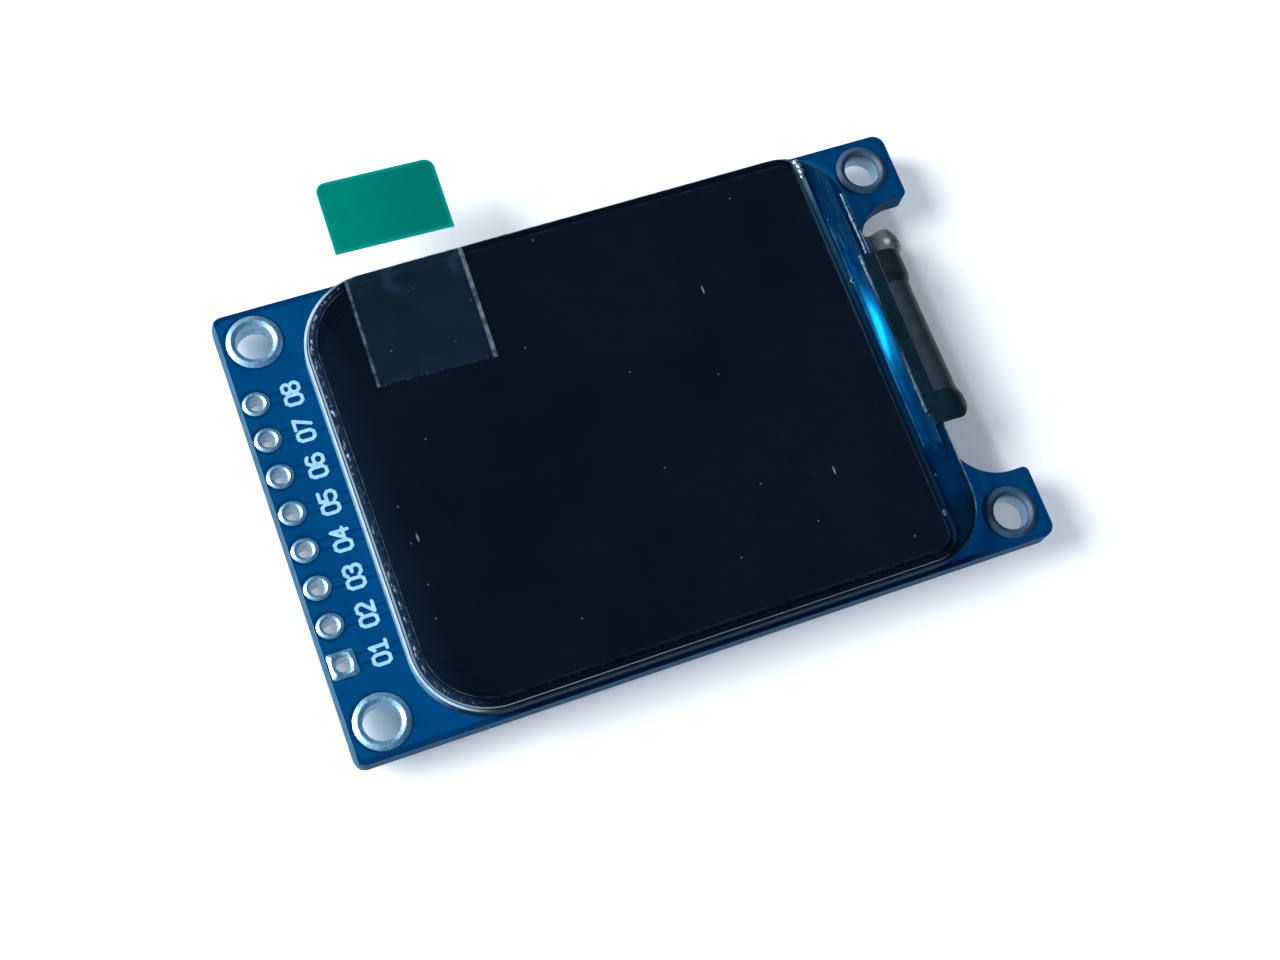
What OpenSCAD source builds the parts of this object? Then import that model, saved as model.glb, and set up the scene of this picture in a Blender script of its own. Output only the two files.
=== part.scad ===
// Colour display module: a glass panel on its backlight, taped to a small circuit board,
// with the panel's flexible circuit folded round the board's edge to its back.
// Sizes are in millimetres. The origin is the middle of the four fixing holes, on the board's
// back face. +X runs from the header holes to the folded flex, and +Z points out of the screen.

/* [Panel] */
// Length of the panel's steel tray, from the header side to the flex side
panel_len = 38.05; // [36:0.05:42]
// Width of the panel's steel tray
panel_wid = 30; // [28:0.1:33]
// Corner radius of the tray on the header side
header_corner_r = 5; // [4:0.1:6]
// Corner radius of the tray on the flex side
flex_corner_r = 4.2; // [3.6:0.1:5]

/* [Board] */
// Strip of board between its header edge and the panel
header_margin = 4.95; // [4.4:0.05:8]
// Strip of board between the panel and the edge with the notch
flex_margin = 4.7; // [4.3:0.05:8]
// Strip of board along each long side of the panel
side_margin = 0.25; // [0:0.05:3]
// Thickness of the board
board_thick = 1.6; // [1:0.1:2.4]
// Radius of the board's outer corners
board_corner_r = 0.8; // [0.3:0.1:1.2]
// How far the scored header edge slopes inwards
score_inset = 0.25; // [0.1:0.05:0.4]
// How deep the score runs from each face
score_depth = 0.5; // [0.2:0.05:0.7]

/* [Notch] */
// Width of the notch that the flex passes through
notch_wid = 20.7; // [19.8:0.1:21.5]
// Gap from the panel's tray to the notch's inner edge
notch_gap = 0.15; // [0.05:0.05:0.4]
// Radius of the notch's inner corners
notch_fillet_r = 3.4; // [1:0.1:3.6]
// Radius of the notch's mouth corners
notch_mouth_r = 0.4; // [0.3:0.1:1]

/* [Fixing holes] */
// Distance from a hole's axis to the board's end
hole_inset_x = 2.35; // [2.1:0.05:2.5]
// Distance from a hole's axis to the board's long side
hole_inset_y = 2.25; // [2.1:0.05:3]
// Finished diameter of a fixing hole
hole_dia = 2.5; // [2:0.1:2.7]
// Diameter of the tinned land round a fixing hole
hole_land_dia = 3.6; // [3.2:0.1:4]

/* [Header] */
// Number of header holes
pin_count = 8; // [4:1:8]
// Spacing of the header holes
pin_pitch = 2.54; // [2:0.01:2.54]
// Finished diameter of a header hole
pin_hole_dia = 1.05; // [0.8:0.05:1.1]
// Diameter of a header land, and side of the square first land
pin_land = 1.7; // [1.4:0.05:1.9]
// Distance from the header holes to the board's edge
pin_inset = 1.2; // [1.1:0.05:1.5]
// Wall of the plating inside a hole
plating = 0.05; // [0.03:0.01:0.08]
// Height of the tinned dome on a land
tin_rise = 0.08; // [0.03:0.01:0.12]

/* [Backlight] */
// Thickness of the tape between board and panel
tape_thick = 0.12; // [0.05:0.01:0.3]
// Length of each tape strip
tape_len = 30; // [20:1:32]
// Width of each tape strip
tape_wid = 6; // [3:0.5:9]
// Distance between the two tape strips' middles
tape_pitch = 16; // [10:0.5:18]
// Thickness of the tray's steel sheet
tray_sheet = 0.15; // [0.1:0.01:0.2]
// Gap between the moulded frame and the tray's wall
frame_gap = 0.03; // [0.02:0.01:0.06]
// Width of the moulded frame's wall
frame_wall = 1.1; // [0.8:0.05:1.4]
// Gap round the sheets inside the frame
sheet_gap = 0.05; // [0.03:0.01:0.1]
// Thickness of the reflector sheet
reflector_thick = 0.06; // [0.04:0.01:0.1]
// Thickness of the light guide
guide_thick = 0.45; // [0.42:0.01:0.7]
// Thickness of the diffuser sheet
diffuser_thick = 0.05; // [0.03:0.01:0.1]
// Thickness of each prism sheet
prism_thick = 0.06; // [0.04:0.01:0.1]
// Thickness of the black rim tape
rim_thick = 0.05; // [0.03:0.01:0.1]
// Width of the black rim tape
rim_wid = 1.7; // [1.4:0.05:2.2]
// Number of lamps along the flex side
led_count = 3; // [1:1:5]
// Spacing of the lamps
led_pitch = 5.2; // [3.2:0.1:5.4]
// Length of a lamp
led_len = 2.6; // [1.5:0.1:2.8]
// Depth of a lamp, towards the light guide
led_depth = 0.6; // [0.4:0.05:0.8]
// Height of a lamp
led_high = 0.38; // [0.3:0.01:0.4]

/* [Glass] */
// Gap between the glass and the tray's wall
glass_gap = 0.07; // [0.04:0.01:0.12]
// How far the lower glass stands above the tray's lip
glass_proud = 0.12; // [0.05:0.01:0.2]
// Thickness of the rear polariser
rear_pol_thick = 0.1; // [0.06:0.01:0.2]
// Thickness of the lower glass, which carries the driver chip
tft_thick = 0.25; // [0.2:0.01:0.5]
// Thickness of the seal between the two glasses
seal_thick = 0.02; // [0.01:0.01:0.05]
// Width of the seal
seal_wid = 0.7; // [0.4:0.05:1.2]
// Thickness of the upper glass
cf_thick = 0.25; // [0.2:0.01:0.5]
// Corner radius of the upper glass on the flex side
cf_corner_r = 1.8; // [0.5:0.1:3]
// Distance from the upper glass's edge to the polarisers
pol_inset = 0.45; // [0.2:0.05:0.8]
// Thickness of the front polariser
front_pol_thick = 0.11; // [0.06:0.01:0.25]
// Thickness of the clear protective film
film_thick = 0.05; // [0.03:0.01:0.1]
// Distance from the polariser's edge to the protective film
film_inset = 0.1; // [0.05:0.05:0.5]

/* [Pull tab] */
// Width of the clear pull strip
strip_wid = 7.95; // [5:0.05:12]
// Length of the clear strip that is stuck to the screen
strip_stuck = 8.15; // [4:0.05:14]
// Length of the clear strip past the panel's edge, with the grip
strip_free = 6.5; // [5.6:0.1:12]
// Length of the green grip at the strip's end
grip_len = 5.15; // [3:0.05:5.4]
// Thickness of the clear strip
strip_thick = 0.05; // [0.03:0.01:0.1]
// Thickness of the green grip
grip_thick = 0.06; // [0.03:0.01:0.1]
// Corner radius of the strip's free end
strip_corner_r = 0.7; // [0.2:0.1:1.5]
// Distance from the panel's header side to the strip's middle
strip_from_header = 7.85; // [6:0.05:24]
// Slant of the strip, in degrees
strip_slant = 1.76; // [0:0.01:5]

/* [Driver and flex] */
// Gap from the upper glass to the driver chip
chip_gap = 0.4; // [0.3:0.05:0.8]
// Width of the driver chip
chip_wid = 0.8; // [0.6:0.05:1.2]
// Length of the driver chip
chip_len = 15.2; // [10:0.1:17]
// Height of the driver chip
chip_high = 0.22; // [0.15:0.01:0.26]
// Gap from the driver chip to the flex
chip_flex_gap = 0.4; // [0.3:0.05:0.8]
// Depth of the resin's crown over the upper glass
resin_crown = 0.1; // [0.05:0.01:0.2]
// Width of the flex's bond on the lower glass
flex_bond = 0.5; // [0.3:0.05:1]
// Width of the flex
flex_wid = 12.7; // [11:0.1:13.4]
// Thickness of the flex
flex_thick = 0.12; // [0.08:0.01:0.2]
// How far the flex's middle lies off the panel's middle
flex_offset = 0.15; // [-0.3:0.05:0.4]
// Straight run of the flex past the tray, before its fold
flex_run = 0.55; // [0.2:0.05:1.2]
// Length of the flex on the board's back
flex_back = 8; // [5:0.1:12]
// Number of soldered fingers on the flex
finger_count = 12; // [6:1:12]
// Spacing of the soldered fingers
finger_pitch = 0.9; // [0.75:0.05:0.95]
// Width of a solder joint
joint_wid = 0.64; // [0.4:0.02:0.7]
// Height of a solder joint
joint_high = 0.26; // [0.22:0.01:0.32]
// Length of a solder joint
joint_len = 1.3; // [0.8:0.1:2]
// Width of the backlight's own narrow flex
tail_wid = 1.6; // [1.3:0.05:1.8]
// Thickness of the backlight's flex
tail_thick = 0.08; // [0.05:0.01:0.08]
// Gap between the two flexes
tail_gap = 0.1; // [0.05:0.05:0.3]
// Straight run of the backlight's flex past the tray, before its fold
tail_run = 1.85; // [0.4:0.05:2.2]
// Length of the backlight's flex on the board's back
tail_back = 4.4; // [2:0.1:6]

/* [Parts on the back] */
// Place of the three-legged parts along the board
sot_x = -9; // [-12:0.1:-6]
// Distance of the two rows of parts from the board's middle line
part_row = 7; // [5:0.1:9]
// Distance from a three-legged part to the chip parts beside it
chip_step = 4.2; // [3.4:0.1:5]
// Distance between two neighbouring resistors
chip_pitch = 3; // [2:0.1:4]
// Place along the board of the chip parts near the flex
near_flex_x = 3.5; // [3:0.1:8]
// Distance of the chip parts near the flex from the board's middle line
near_flex_row = 9.4; // [7.5:0.1:12]
// Length of a chip capacitor or resistor
chip_part_len = 1.6; // [1:0.1:2]
// Width of a chip capacitor or resistor
chip_part_wid = 0.8; // [0.5:0.05:1.2]
// Height of a chip capacitor
capacitor_high = 0.8; // [0.5:0.05:0.9]
// Height of a chip resistor
resistor_high = 0.45; // [0.4:0.05:0.6]
// Length of a chip part's metal end
end_band = 0.3; // [0.2:0.05:0.4]
// Thickness of a chip part's metal end
end_wall = 0.03; // [0.02:0.01:0.06]
// Size of the solder fillet at a chip part's end
fillet_size = 0.28; // [0.15:0.01:0.35]
// Length of a three-legged part's body
sot_len = 2.9; // [2.6:0.1:3.2]
// Width of a three-legged part's body
sot_wid = 1.3; // [1.1:0.05:1.5]
// Height of a three-legged part's body
sot_high = 1; // [0.8:0.05:1.2]
// Slope of the body's moulded sides, as a length at the top
sot_draft = 0.07; // [0.03:0.01:0.15]
// Gap under a three-legged part's body
sot_stand = 0.06; // [0.03:0.01:0.1]
// Spacing of the two legs on one side
leg_pitch = 1.9; // [1.6:0.05:2]
// Width of a leg
leg_wid = 0.4; // [0.3:0.02:0.5]
// Thickness of a leg
leg_thick = 0.12; // [0.08:0.01:0.16]
// Reach of a leg past the body
leg_reach = 0.55; // [0.45:0.05:0.7]
// Length of a leg inside the body
leg_root = 0.2; // [0.1:0.02:0.3]
// Length of a leg's flat foot
leg_foot = 0.28; // [0.2:0.02:0.34]

/* [Hidden] */
$fn = 64;
past = 1; // how far a cut runs past the faces that it opens
arch_facets = 256; // facets of a shallow arch's full circle
hollow_away = 1.5; // middle of a fillet's hollow, counted in the fillet's own size

// The board's outline, centred on the origin
board_len = header_margin + panel_len + flex_margin;
board_wid = panel_wid + 2 * side_margin;
board_x = board_len / 2;
board_y = board_wid / 2;
notch_depth = flex_margin - notch_gap;
hole_x = board_x - hole_inset_x;
hole_y = board_y - hole_inset_y;
pin_x = pin_inset - board_x;

// Ends and half widths of the panel's layers
tray_x0 = header_margin - board_x;
tray_x1 = tray_x0 + panel_len;
tray_y = panel_wid / 2;
frame_in = tray_sheet + frame_gap;
window_in = frame_in + frame_wall;
glass_in = tray_sheet + glass_gap;
ledge_len = chip_gap + chip_wid + chip_flex_gap + flex_bond;
glass_x0 = tray_x0 + glass_in;
glass_x1 = tray_x1 - glass_in;
glass_y = tray_y - glass_in;
cf_x1 = glass_x1 - ledge_len;
film_edge = pol_inset + film_inset;

// Heights of the panel's layers, from the board up
tape_z = board_thick;
tray_z = tape_z + tape_thick;
floor_z = tray_z + tray_sheet;
guide_z = floor_z + reflector_thick;
diffuser_z = guide_z + guide_thick;
prism_z = diffuser_z + diffuser_thick;
rim_z = prism_z + 2 * prism_thick;
rear_pol_z = rim_z + rim_thick;
tft_z = rear_pol_z + rear_pol_thick;
ledge_z = tft_z + tft_thick;
lip_z = ledge_z - glass_proud;
cf_z = ledge_z + seal_thick;
front_pol_z = cf_z + cf_thick;
film_z = front_pol_z + front_pol_thick;
strip_z = film_z + film_thick;
grip_z = strip_z + strip_thick;

// The lamps stand between the light guide and the frame's wall
led_x1 = tray_x1 - window_in - 2 * sheet_gap;
guide_x1 = led_x1 - led_depth - sheet_gap;

// The two flexes, side by side
flex_x0 = glass_x1 - flex_bond;
flex_y0 = flex_offset - flex_wid / 2;
flex_y1 = flex_y0 + flex_wid;
fold_x = tray_x1 + flex_run;
tail_y0 = flex_y1 + tail_gap;
tail_fold_x = tray_x1 + tail_run;
driver_x0 = cf_x1 + chip_gap;

// The pull strip's own frame, whose Y axis runs along the strip
strip_x = tray_x0 + strip_from_header;

// The parts on the back, in two rows and beside the flex
regulator_at = [sot_x, part_row];
transistor_at = [sot_x, -part_row];
chip_x0 = sot_x - chip_step;
chip_x1 = sot_x + chip_step;
capacitor_spots = [[chip_x0, part_row], [chip_x1, part_row], [near_flex_x, near_flex_row]];
resistor_spots = [[chip_x0, -part_row], [chip_x1, -part_row],
    [chip_x1 + chip_pitch, -part_row], [near_flex_x, -near_flex_row]];

// Middle height of a three-legged part's body, where its legs come out
leg_z = sot_stand + sot_high / 2;

// A plate outline from x0 to x1 and half each way in Y, with round corners at each end
module rounded(x0, x1, half, r0, r1) {
    translate([x0 + r0, -half]) square([x1 - x0 - r0 - r1, 2 * half]);
    translate([x0, r0 - half]) square([r0, 2 * (half - r0)]);
    translate([x1 - r1, r1 - half]) square([r1, 2 * (half - r1)]);
    for (side = [-1, 1]) {
        translate([x0 + r0, side * (half - r0)]) circle(r0);
        translate([x1 - r1, side * (half - r1)]) circle(r1);
    }
}

// The tray's outline, taken in by the same amount all round
module inside_tray(inset) {
    rounded(tray_x0 + inset, tray_x1 - inset, tray_y - inset,
        header_corner_r - inset, flex_corner_r - inset);
}

// The upper glass's outline, taken in by the same amount all round
module inside_glass(inset) {
    rounded(glass_x0 + inset, cf_x1 - inset, glass_y - inset,
        header_corner_r - glass_in - inset, cf_corner_r - min(inset, cf_corner_r / 2));
}

// A layer of sheet at a given height
module layer(z, thick) {
    translate([0, 0, z]) linear_extrude(thick) children();
}

// The outline of the sheets inside the frame, which stop short of the lamps
module sheet_outline() {
    intersection() {
        inside_tray(window_in + sheet_gap);
        translate([tray_x0, -tray_y]) square([guide_x1 - tray_x0, panel_wid]);
    }
}

// The places of the four fixing holes
module at_holes() {
    for (x = [-hole_x, hole_x], y = [-hole_y, hole_y]) translate([x, y, 0]) children();
}

// The place of one header hole, counted from the square land
function pin_y(i) = (i - (pin_count - 1) / 2) * pin_pitch;

// A straight hole through the board
module drill(dia) {
    translate([0, 0, -past]) cylinder(d = dia, h = board_thick + 2 * past);
}

// A corner piece that rounds an outer corner at the origin, whose sides run along +X and +Y
module corner_waste(r) {
    difference() {
        translate([-past, -past]) square(r + past);
        translate([r, r]) circle(r);
    }
}

// The notch's outline, with round inner corners and eased mouth corners
module notch_outline() {
    half = notch_wid / 2;
    rounded(board_x - notch_depth, board_x + 2 * notch_fillet_r, half,
        notch_fillet_r, notch_fillet_r);
    for (side = [0, 1]) mirror([0, side]) translate([board_x, half]) mirror([1, 0])
        corner_waste(notch_mouth_r);
}

// Glass fibre board with a scored header edge, plated holes and the notch for the flex
module printed_board() {
    color("royalblue") difference() {
        linear_extrude(board_thick) difference() {
            rounded(-board_x, board_x, board_y, board_corner_r, board_corner_r);
            notch_outline();
        }
        at_holes() drill(hole_dia + 2 * plating);
        for (i = [0 : pin_count - 1]) translate([pin_x, pin_y(i), 0])
            drill(pin_hole_dia + 2 * plating);
        for (face = [0, 1]) translate([0, 0, face * board_thick]) mirror([0, 0, face])
            rotate([90, 0, 0]) linear_extrude(2 * board_wid, center = true)
                polygon([[-board_x - past, -past], [-board_x + score_inset, -past],
                    [-board_x + score_inset, 0], [-board_x, score_depth],
                    [-board_x - past, score_depth]]);
    }
}

// Section of a plated hole with a tinned dome on each face
module eyelet_section(hole_r, land_r) {
    half = (land_r - hole_r) / 2;
    dome_r = (half * half + tin_rise * tin_rise) / (2 * tin_rise);
    translate([hole_r, 0]) square([plating, board_thick]);
    for (face = [0, 1]) translate([0, face * board_thick]) mirror([0, 1 - face])
        intersection() {
            translate([hole_r, 0]) square([land_r - hole_r, 2 * tin_rise]);
            translate([hole_r + half, tin_rise - dome_r]) circle(dome_r);
        }
}

// A plated hole with round lands
module eyelet(dia, land) {
    rotate_extrude() eyelet_section(dia / 2, land / 2);
}

// A square land at the origin, arched both ways to a pillow
module square_land(land) {
    half = land / 2;
    arch_r = (half * half + tin_rise * tin_rise) / (2 * tin_rise);
    intersection() {
        translate([-half, -half, 0]) cube([land, land, 2 * tin_rise]);
        translate([0, 0, tin_rise - arch_r]) rotate([90, 0, 0])
            cylinder(r = arch_r, h = 2 * land, center = true, $fn = arch_facets);
        translate([0, 0, tin_rise - arch_r]) rotate([0, 90, 0])
            cylinder(r = arch_r, h = 2 * land, center = true, $fn = arch_facets);
    }
}

// A plated hole with square, pillowed lands, which marks the first pin
module square_eyelet(dia, land) {
    difference() {
        union() {
            cylinder(d = dia + 2 * plating, h = board_thick);
            translate([0, 0, board_thick]) square_land(land);
            mirror([0, 0, 1]) square_land(land);
        }
        drill(dia);
    }
}

// Tinned copper in the four fixing holes
module mounting_eyelets() {
    color("silver") at_holes() eyelet(hole_dia, hole_land_dia);
}

// Tinned copper in the header holes, the first with a square land
module header_eyelets() {
    color("silver") for (i = [0 : pin_count - 1]) translate([pin_x, pin_y(i), 0])
        if (i == 0) square_eyelet(pin_hole_dia, pin_land);
        else eyelet(pin_hole_dia, pin_land);
}

// Two strips of adhesive tape that hold the panel on the board
module mounting_tape() {
    color("white") layer(tape_z, tape_thick) for (side = [-1, 1])
        translate([(tray_x0 + tray_x1 - tape_len) / 2, (side * tape_pitch - tape_wid) / 2])
            square([tape_len, tape_wid]);
}

// A slot in the backlight's wall that the backlight's flex leaves through
module tail_slot() {
    translate([led_x1 - sheet_gap, tail_y0 - sheet_gap, floor_z])
        cube([tray_x1 - led_x1 + past, tail_wid + 2 * sheet_gap, tail_thick + sheet_gap]);
}

// Folded steel tray with a slot for the backlight's flex
module backlight_tray() {
    color("lightsteelblue") difference() {
        layer(tray_z, lip_z - tray_z) inside_tray(0);
        layer(floor_z, lip_z) inside_tray(tray_sheet);
        tail_slot();
    }
}

// Moulded frame that holds the light guide and its sheets
module backlight_frame() {
    color("white") difference() {
        layer(floor_z, rim_z - floor_z) difference() {
            inside_tray(frame_in);
            inside_tray(window_in);
        }
        tail_slot();
    }
}

// Silvered sheet under the light guide
module reflector_sheet() {
    color("gainsboro") layer(floor_z, reflector_thick) sheet_outline();
}

// Clear plate that spreads the lamps' light
module light_guide() {
    color("honeydew") layer(guide_z, guide_thick) sheet_outline();
}

// Milky sheet on the light guide
module diffuser_sheet() {
    color("ghostwhite") layer(diffuser_z, diffuser_thick) sheet_outline();
}

// First of the two crossed prism sheets
module lower_prism_sheet() {
    color("aliceblue") layer(prism_z, prism_thick) sheet_outline();
}

// Second of the two crossed prism sheets
module upper_prism_sheet() {
    color("azure") layer(prism_z + prism_thick, prism_thick) sheet_outline();
}

// Black tape that joins the frame to the glass and keeps light from leaking
module rim_tape() {
    color("black") layer(rim_z, rim_thick) difference() {
        inside_tray(frame_in);
        inside_tray(frame_in + rim_wid);
    }
}

// A flat strip that runs off its carrier at a height, folds under and lies against the board's
// back, from x0 to the fold and back again
module folded_strip(x0, fold, back, y0, wid, z, thick) {
    translate([x0, y0, z]) cube([fold - x0, wid, thick]);
    translate([fold, y0, z / 2]) rotate([-90, 0, 0]) rotate_extrude(angle = 180, start = -90)
        translate([z / 2, 0]) square([thick, wid]);
    translate([fold - back, y0, -thick]) cube([back, wid, thick]);
}

// Narrow flex that carries the lamps and folds to the board's back
module backlight_flex() {
    strip_y = (led_count - 1) * led_pitch / 2 + led_len / 2;
    strip_end = max(strip_y, tail_y0 + tail_wid);
    color("tan") {
        translate([led_x1 - led_depth, -strip_y, floor_z])
            cube([led_depth + sheet_gap, strip_y + strip_end, tail_thick]);
        folded_strip(led_x1, tail_fold_x, tail_back, tail_y0, tail_wid, floor_z, tail_thick);
    }
}

// Side-firing lamps on the backlight's flex
module backlight_leds() {
    color("lightyellow") for (i = [0 : led_count - 1])
        translate([led_x1 - led_depth, (i - (led_count - 1) / 2) * led_pitch - led_len / 2,
            floor_z + tail_thick]) cube([led_depth, led_len, led_high]);
}

// Polarising film under the lower glass
module rear_polariser() {
    color("dimgray") layer(rear_pol_z, rear_pol_thick) inside_glass(pol_inset);
}

// Lower glass, longer than the upper one by the ledge for the chip and the flex
module tft_glass() {
    color("steelblue") layer(tft_z, tft_thick) inside_tray(glass_in);
}

// Bead of cement between the two glasses
module cell_seal() {
    color("gray") layer(ledge_z, seal_thick) difference() {
        inside_glass(0);
        inside_glass(seal_wid);
    }
}

// Upper glass with the colour filter
module colour_filter_glass() {
    color("midnightblue") layer(cf_z, cf_thick) inside_glass(0);
}

// Dark polarising film on the upper glass
module front_polariser() {
    color("black") layer(front_pol_z, front_pol_thick) inside_glass(pol_inset);
}

// Clear film that keeps the screen from scratches until it is fitted
module protective_film() {
    color("lightcyan") layer(film_z, film_thick) inside_glass(film_edge);
}

// The pull strip's frame: X across the strip, Y along it from the panel's long edge
module on_strip() {
    translate([strip_x, tray_y, 0]) rotate([0, 0, -strip_slant]) children();
}

// Outline of the strip from one length along it to its rounded free end
module strip_outline(from) {
    rotate(90) intersection() {
        rounded(from - strip_corner_r, strip_free, strip_wid / 2, strip_corner_r, strip_corner_r);
        translate([from, -strip_wid]) square([strip_free - from, 2 * strip_wid]);
    }
}

// Clear strip stuck to the protective film, to peel it off by
module pull_strip() {
    color("lightblue") on_strip() layer(strip_z, strip_thick) strip_outline(-strip_stuck);
}

// Green grip on the strip's free end
module pull_grip() {
    color("teal") on_strip() layer(grip_z, grip_thick) strip_outline(strip_free - grip_len);
}

// Bare silicon driver on the lower glass's ledge
module driver_chip() {
    color("darkslateblue") translate([driver_x0, flex_offset - chip_len / 2, ledge_z])
        cube([chip_wid, chip_len, chip_high]);
}

// Blue resin that covers the ledge and the chip, with a crowned top
module ledge_resin() {
    wid = flex_x0 - cf_x1;
    crown_z = front_pol_z + resin_crown;
    crown_r = (wid * wid / 4 + resin_crown * resin_crown) / (2 * resin_crown);
    color("mediumblue") difference() {
        intersection() {
            layer(ledge_z, crown_z) intersection() {
                inside_tray(glass_in);
                translate([cf_x1, -tray_y]) square([wid, panel_wid]);
            }
            translate([cf_x1 + wid / 2, 0, crown_z - crown_r]) rotate([90, 0, 0])
                cylinder(r = crown_r, h = 2 * panel_wid, center = true, $fn = arch_facets);
        }
        driver_chip();
    }
}

// Panel's flexible circuit, bonded to the ledge and folded through the notch
module display_flex() {
    color("darkslategray")
        folded_strip(flex_x0, fold_x, flex_back, flex_y0, flex_wid, ledge_z, flex_thick);
}

// A solder joint over a flex's end at the origin, lying along X on the board's back
module flex_joint(thick) {
    joint_r = (joint_wid * joint_wid / 4 + joint_high * joint_high) / (2 * joint_high);
    difference() {
        intersection() {
            translate([-joint_len / 2, 0, joint_r - joint_high]) rotate([0, 90, 0])
                cylinder(r = joint_r, h = joint_len);
            translate([-joint_len, -joint_wid, -joint_high - past])
                cube([2 * joint_len, 2 * joint_wid, joint_high + past]);
        }
        translate([0, -joint_wid, -thick]) cube([joint_len, 2 * joint_wid, thick + past]);
    }
}

// Solder on the fingers of both flexes
module flex_solder() {
    color("silver") {
        for (i = [0 : finger_count - 1]) {
            finger_y = flex_offset + (i - (finger_count - 1) / 2) * finger_pitch;
            translate([fold_x - flex_back, finger_y, 0]) flex_joint(flex_thick);
        }
        for (side = [-1, 1])
            translate([tail_fold_x - tail_back, tail_y0 + (1 + side / 2) * tail_wid / 2, 0])
                flex_joint(tail_thick);
    }
}

// A place on the board's back, with the part's up pointing away from the board
module on_back(at, turn = 0) {
    translate([at.x, at.y, 0]) rotate([180, 0, turn]) children();
}

// Six-sided section of a moulded body, widest at the middle
module moulded_section(wid) {
    top = wid / 2 - sot_draft;
    polygon([[-top, sot_stand], [top, sot_stand], [wid / 2, leg_z], [top, sot_stand + sot_high],
        [-top, sot_stand + sot_high], [-wid / 2, leg_z]]);
}

// One leg, bent down to the board, on the body's +Y side
module leg() {
    half = sot_wid / 2;
    toe = half + leg_reach;
    heel = toe - leg_foot;
    top = leg_z + leg_thick / 2;
    under = leg_z - leg_thick / 2;
    rotate([90, 0, 90]) linear_extrude(leg_wid, center = true)
        polygon([[half - leg_root, top], [heel - leg_thick / 2, top],
            [heel + leg_thick / 2, leg_thick], [toe, leg_thick], [toe, 0], [heel, 0],
            [heel - leg_thick, under], [half - leg_root, under]]);
}

// Copies something to the places of the three legs
module at_legs() {
    for (x = [-leg_pitch / 2, leg_pitch / 2]) translate([x, 0, 0]) children();
    rotate([0, 0, 180]) children();
}

// The moulded body of a three-legged part
module sot_body() {
    difference() {
        intersection() {
            rotate([90, 0, 90]) linear_extrude(2 * sot_len, center = true) moulded_section(sot_wid);
            rotate([90, 0, 0]) linear_extrude(2 * sot_wid, center = true) moulded_section(sot_len);
        }
        at_legs() leg();
    }
}

// Regulator that makes the panel's supply
module regulator_body() {
    color("black") on_back(regulator_at) sot_body();
}

// The regulator's legs
module regulator_legs() {
    color("silver") on_back(regulator_at) at_legs() leg();
}

// Transistor that switches the backlight
module transistor_body() {
    color("black") on_back(transistor_at, 180) sot_body();
}

// The transistor's legs
module transistor_legs() {
    color("silver") on_back(transistor_at, 180) at_legs() leg();
}

// The fired block of a chip part, lying along Y
module chip_block(high) {
    translate([end_wall - chip_part_wid / 2, end_wall - chip_part_len / 2, end_wall])
        cube([chip_part_wid - 2 * end_wall, chip_part_len - 2 * end_wall, high - 2 * end_wall]);
}

// The two metal ends of a chip part
module chip_ends(high) {
    for (side = [0, 1]) mirror([0, side, 0]) difference() {
        translate([-chip_part_wid / 2, chip_part_len / 2 - end_band, 0])
            cube([chip_part_wid, end_band, high]);
        chip_block(high);
    }
}

// Ceramic blocks of the capacitors
module capacitor_bodies() {
    color("peru") for (at = capacitor_spots) on_back(at) chip_block(capacitor_high);
}

// Metal ends of the capacitors
module capacitor_ends() {
    color("silver") for (at = capacitor_spots) on_back(at) chip_ends(capacitor_high);
}

// Ceramic blocks of the resistors
module resistor_bodies() {
    color("black") for (at = resistor_spots) on_back(at) chip_block(resistor_high);
}

// Metal ends of the resistors
module resistor_ends() {
    color("silver") for (at = resistor_spots) on_back(at) chip_ends(resistor_high);
}

// A hollow solder fillet against a wall at the origin that faces +Y
module fillet(wid, size) {
    away = hollow_away * size;
    rotate([90, 0, 90]) linear_extrude(wid, center = true) difference() {
        polygon([[0, 0], [size, 0], [0, size]]);
        translate([away, away]) circle(norm([away, away - size]));
    }
}

// Solder at every end and foot of the parts on the back
module part_solder() {
    color("silver") {
        for (at = concat(capacitor_spots, resistor_spots)) on_back(at) for (side = [0, 1])
            mirror([0, side, 0]) translate([0, chip_part_len / 2, 0])
                fillet(chip_part_wid, fillet_size);
        on_back(regulator_at) at_legs() translate([0, sot_wid / 2 + leg_reach, 0])
            fillet(leg_wid, leg_thick);
        on_back(transistor_at, 180) at_legs() translate([0, sot_wid / 2 + leg_reach, 0])
            fillet(leg_wid, leg_thick);
    }
}

printed_board();
mounting_eyelets();
header_eyelets();
mounting_tape();
backlight_tray();
backlight_frame();
reflector_sheet();
light_guide();
diffuser_sheet();
lower_prism_sheet();
upper_prism_sheet();
rim_tape();
backlight_flex();
backlight_leds();
rear_polariser();
tft_glass();
cell_seal();
colour_filter_glass();
front_polariser();
protective_film();
pull_strip();
pull_grip();
driver_chip();
ledge_resin();
display_flex();
flex_solder();
regulator_body();
regulator_legs();
transistor_body();
transistor_legs();
capacitor_bodies();
capacitor_ends();
resistor_bodies();
resistor_ends();
part_solder();
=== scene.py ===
import math

import bmesh
import bpy
from mathutils import Matrix, Vector, noise


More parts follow.
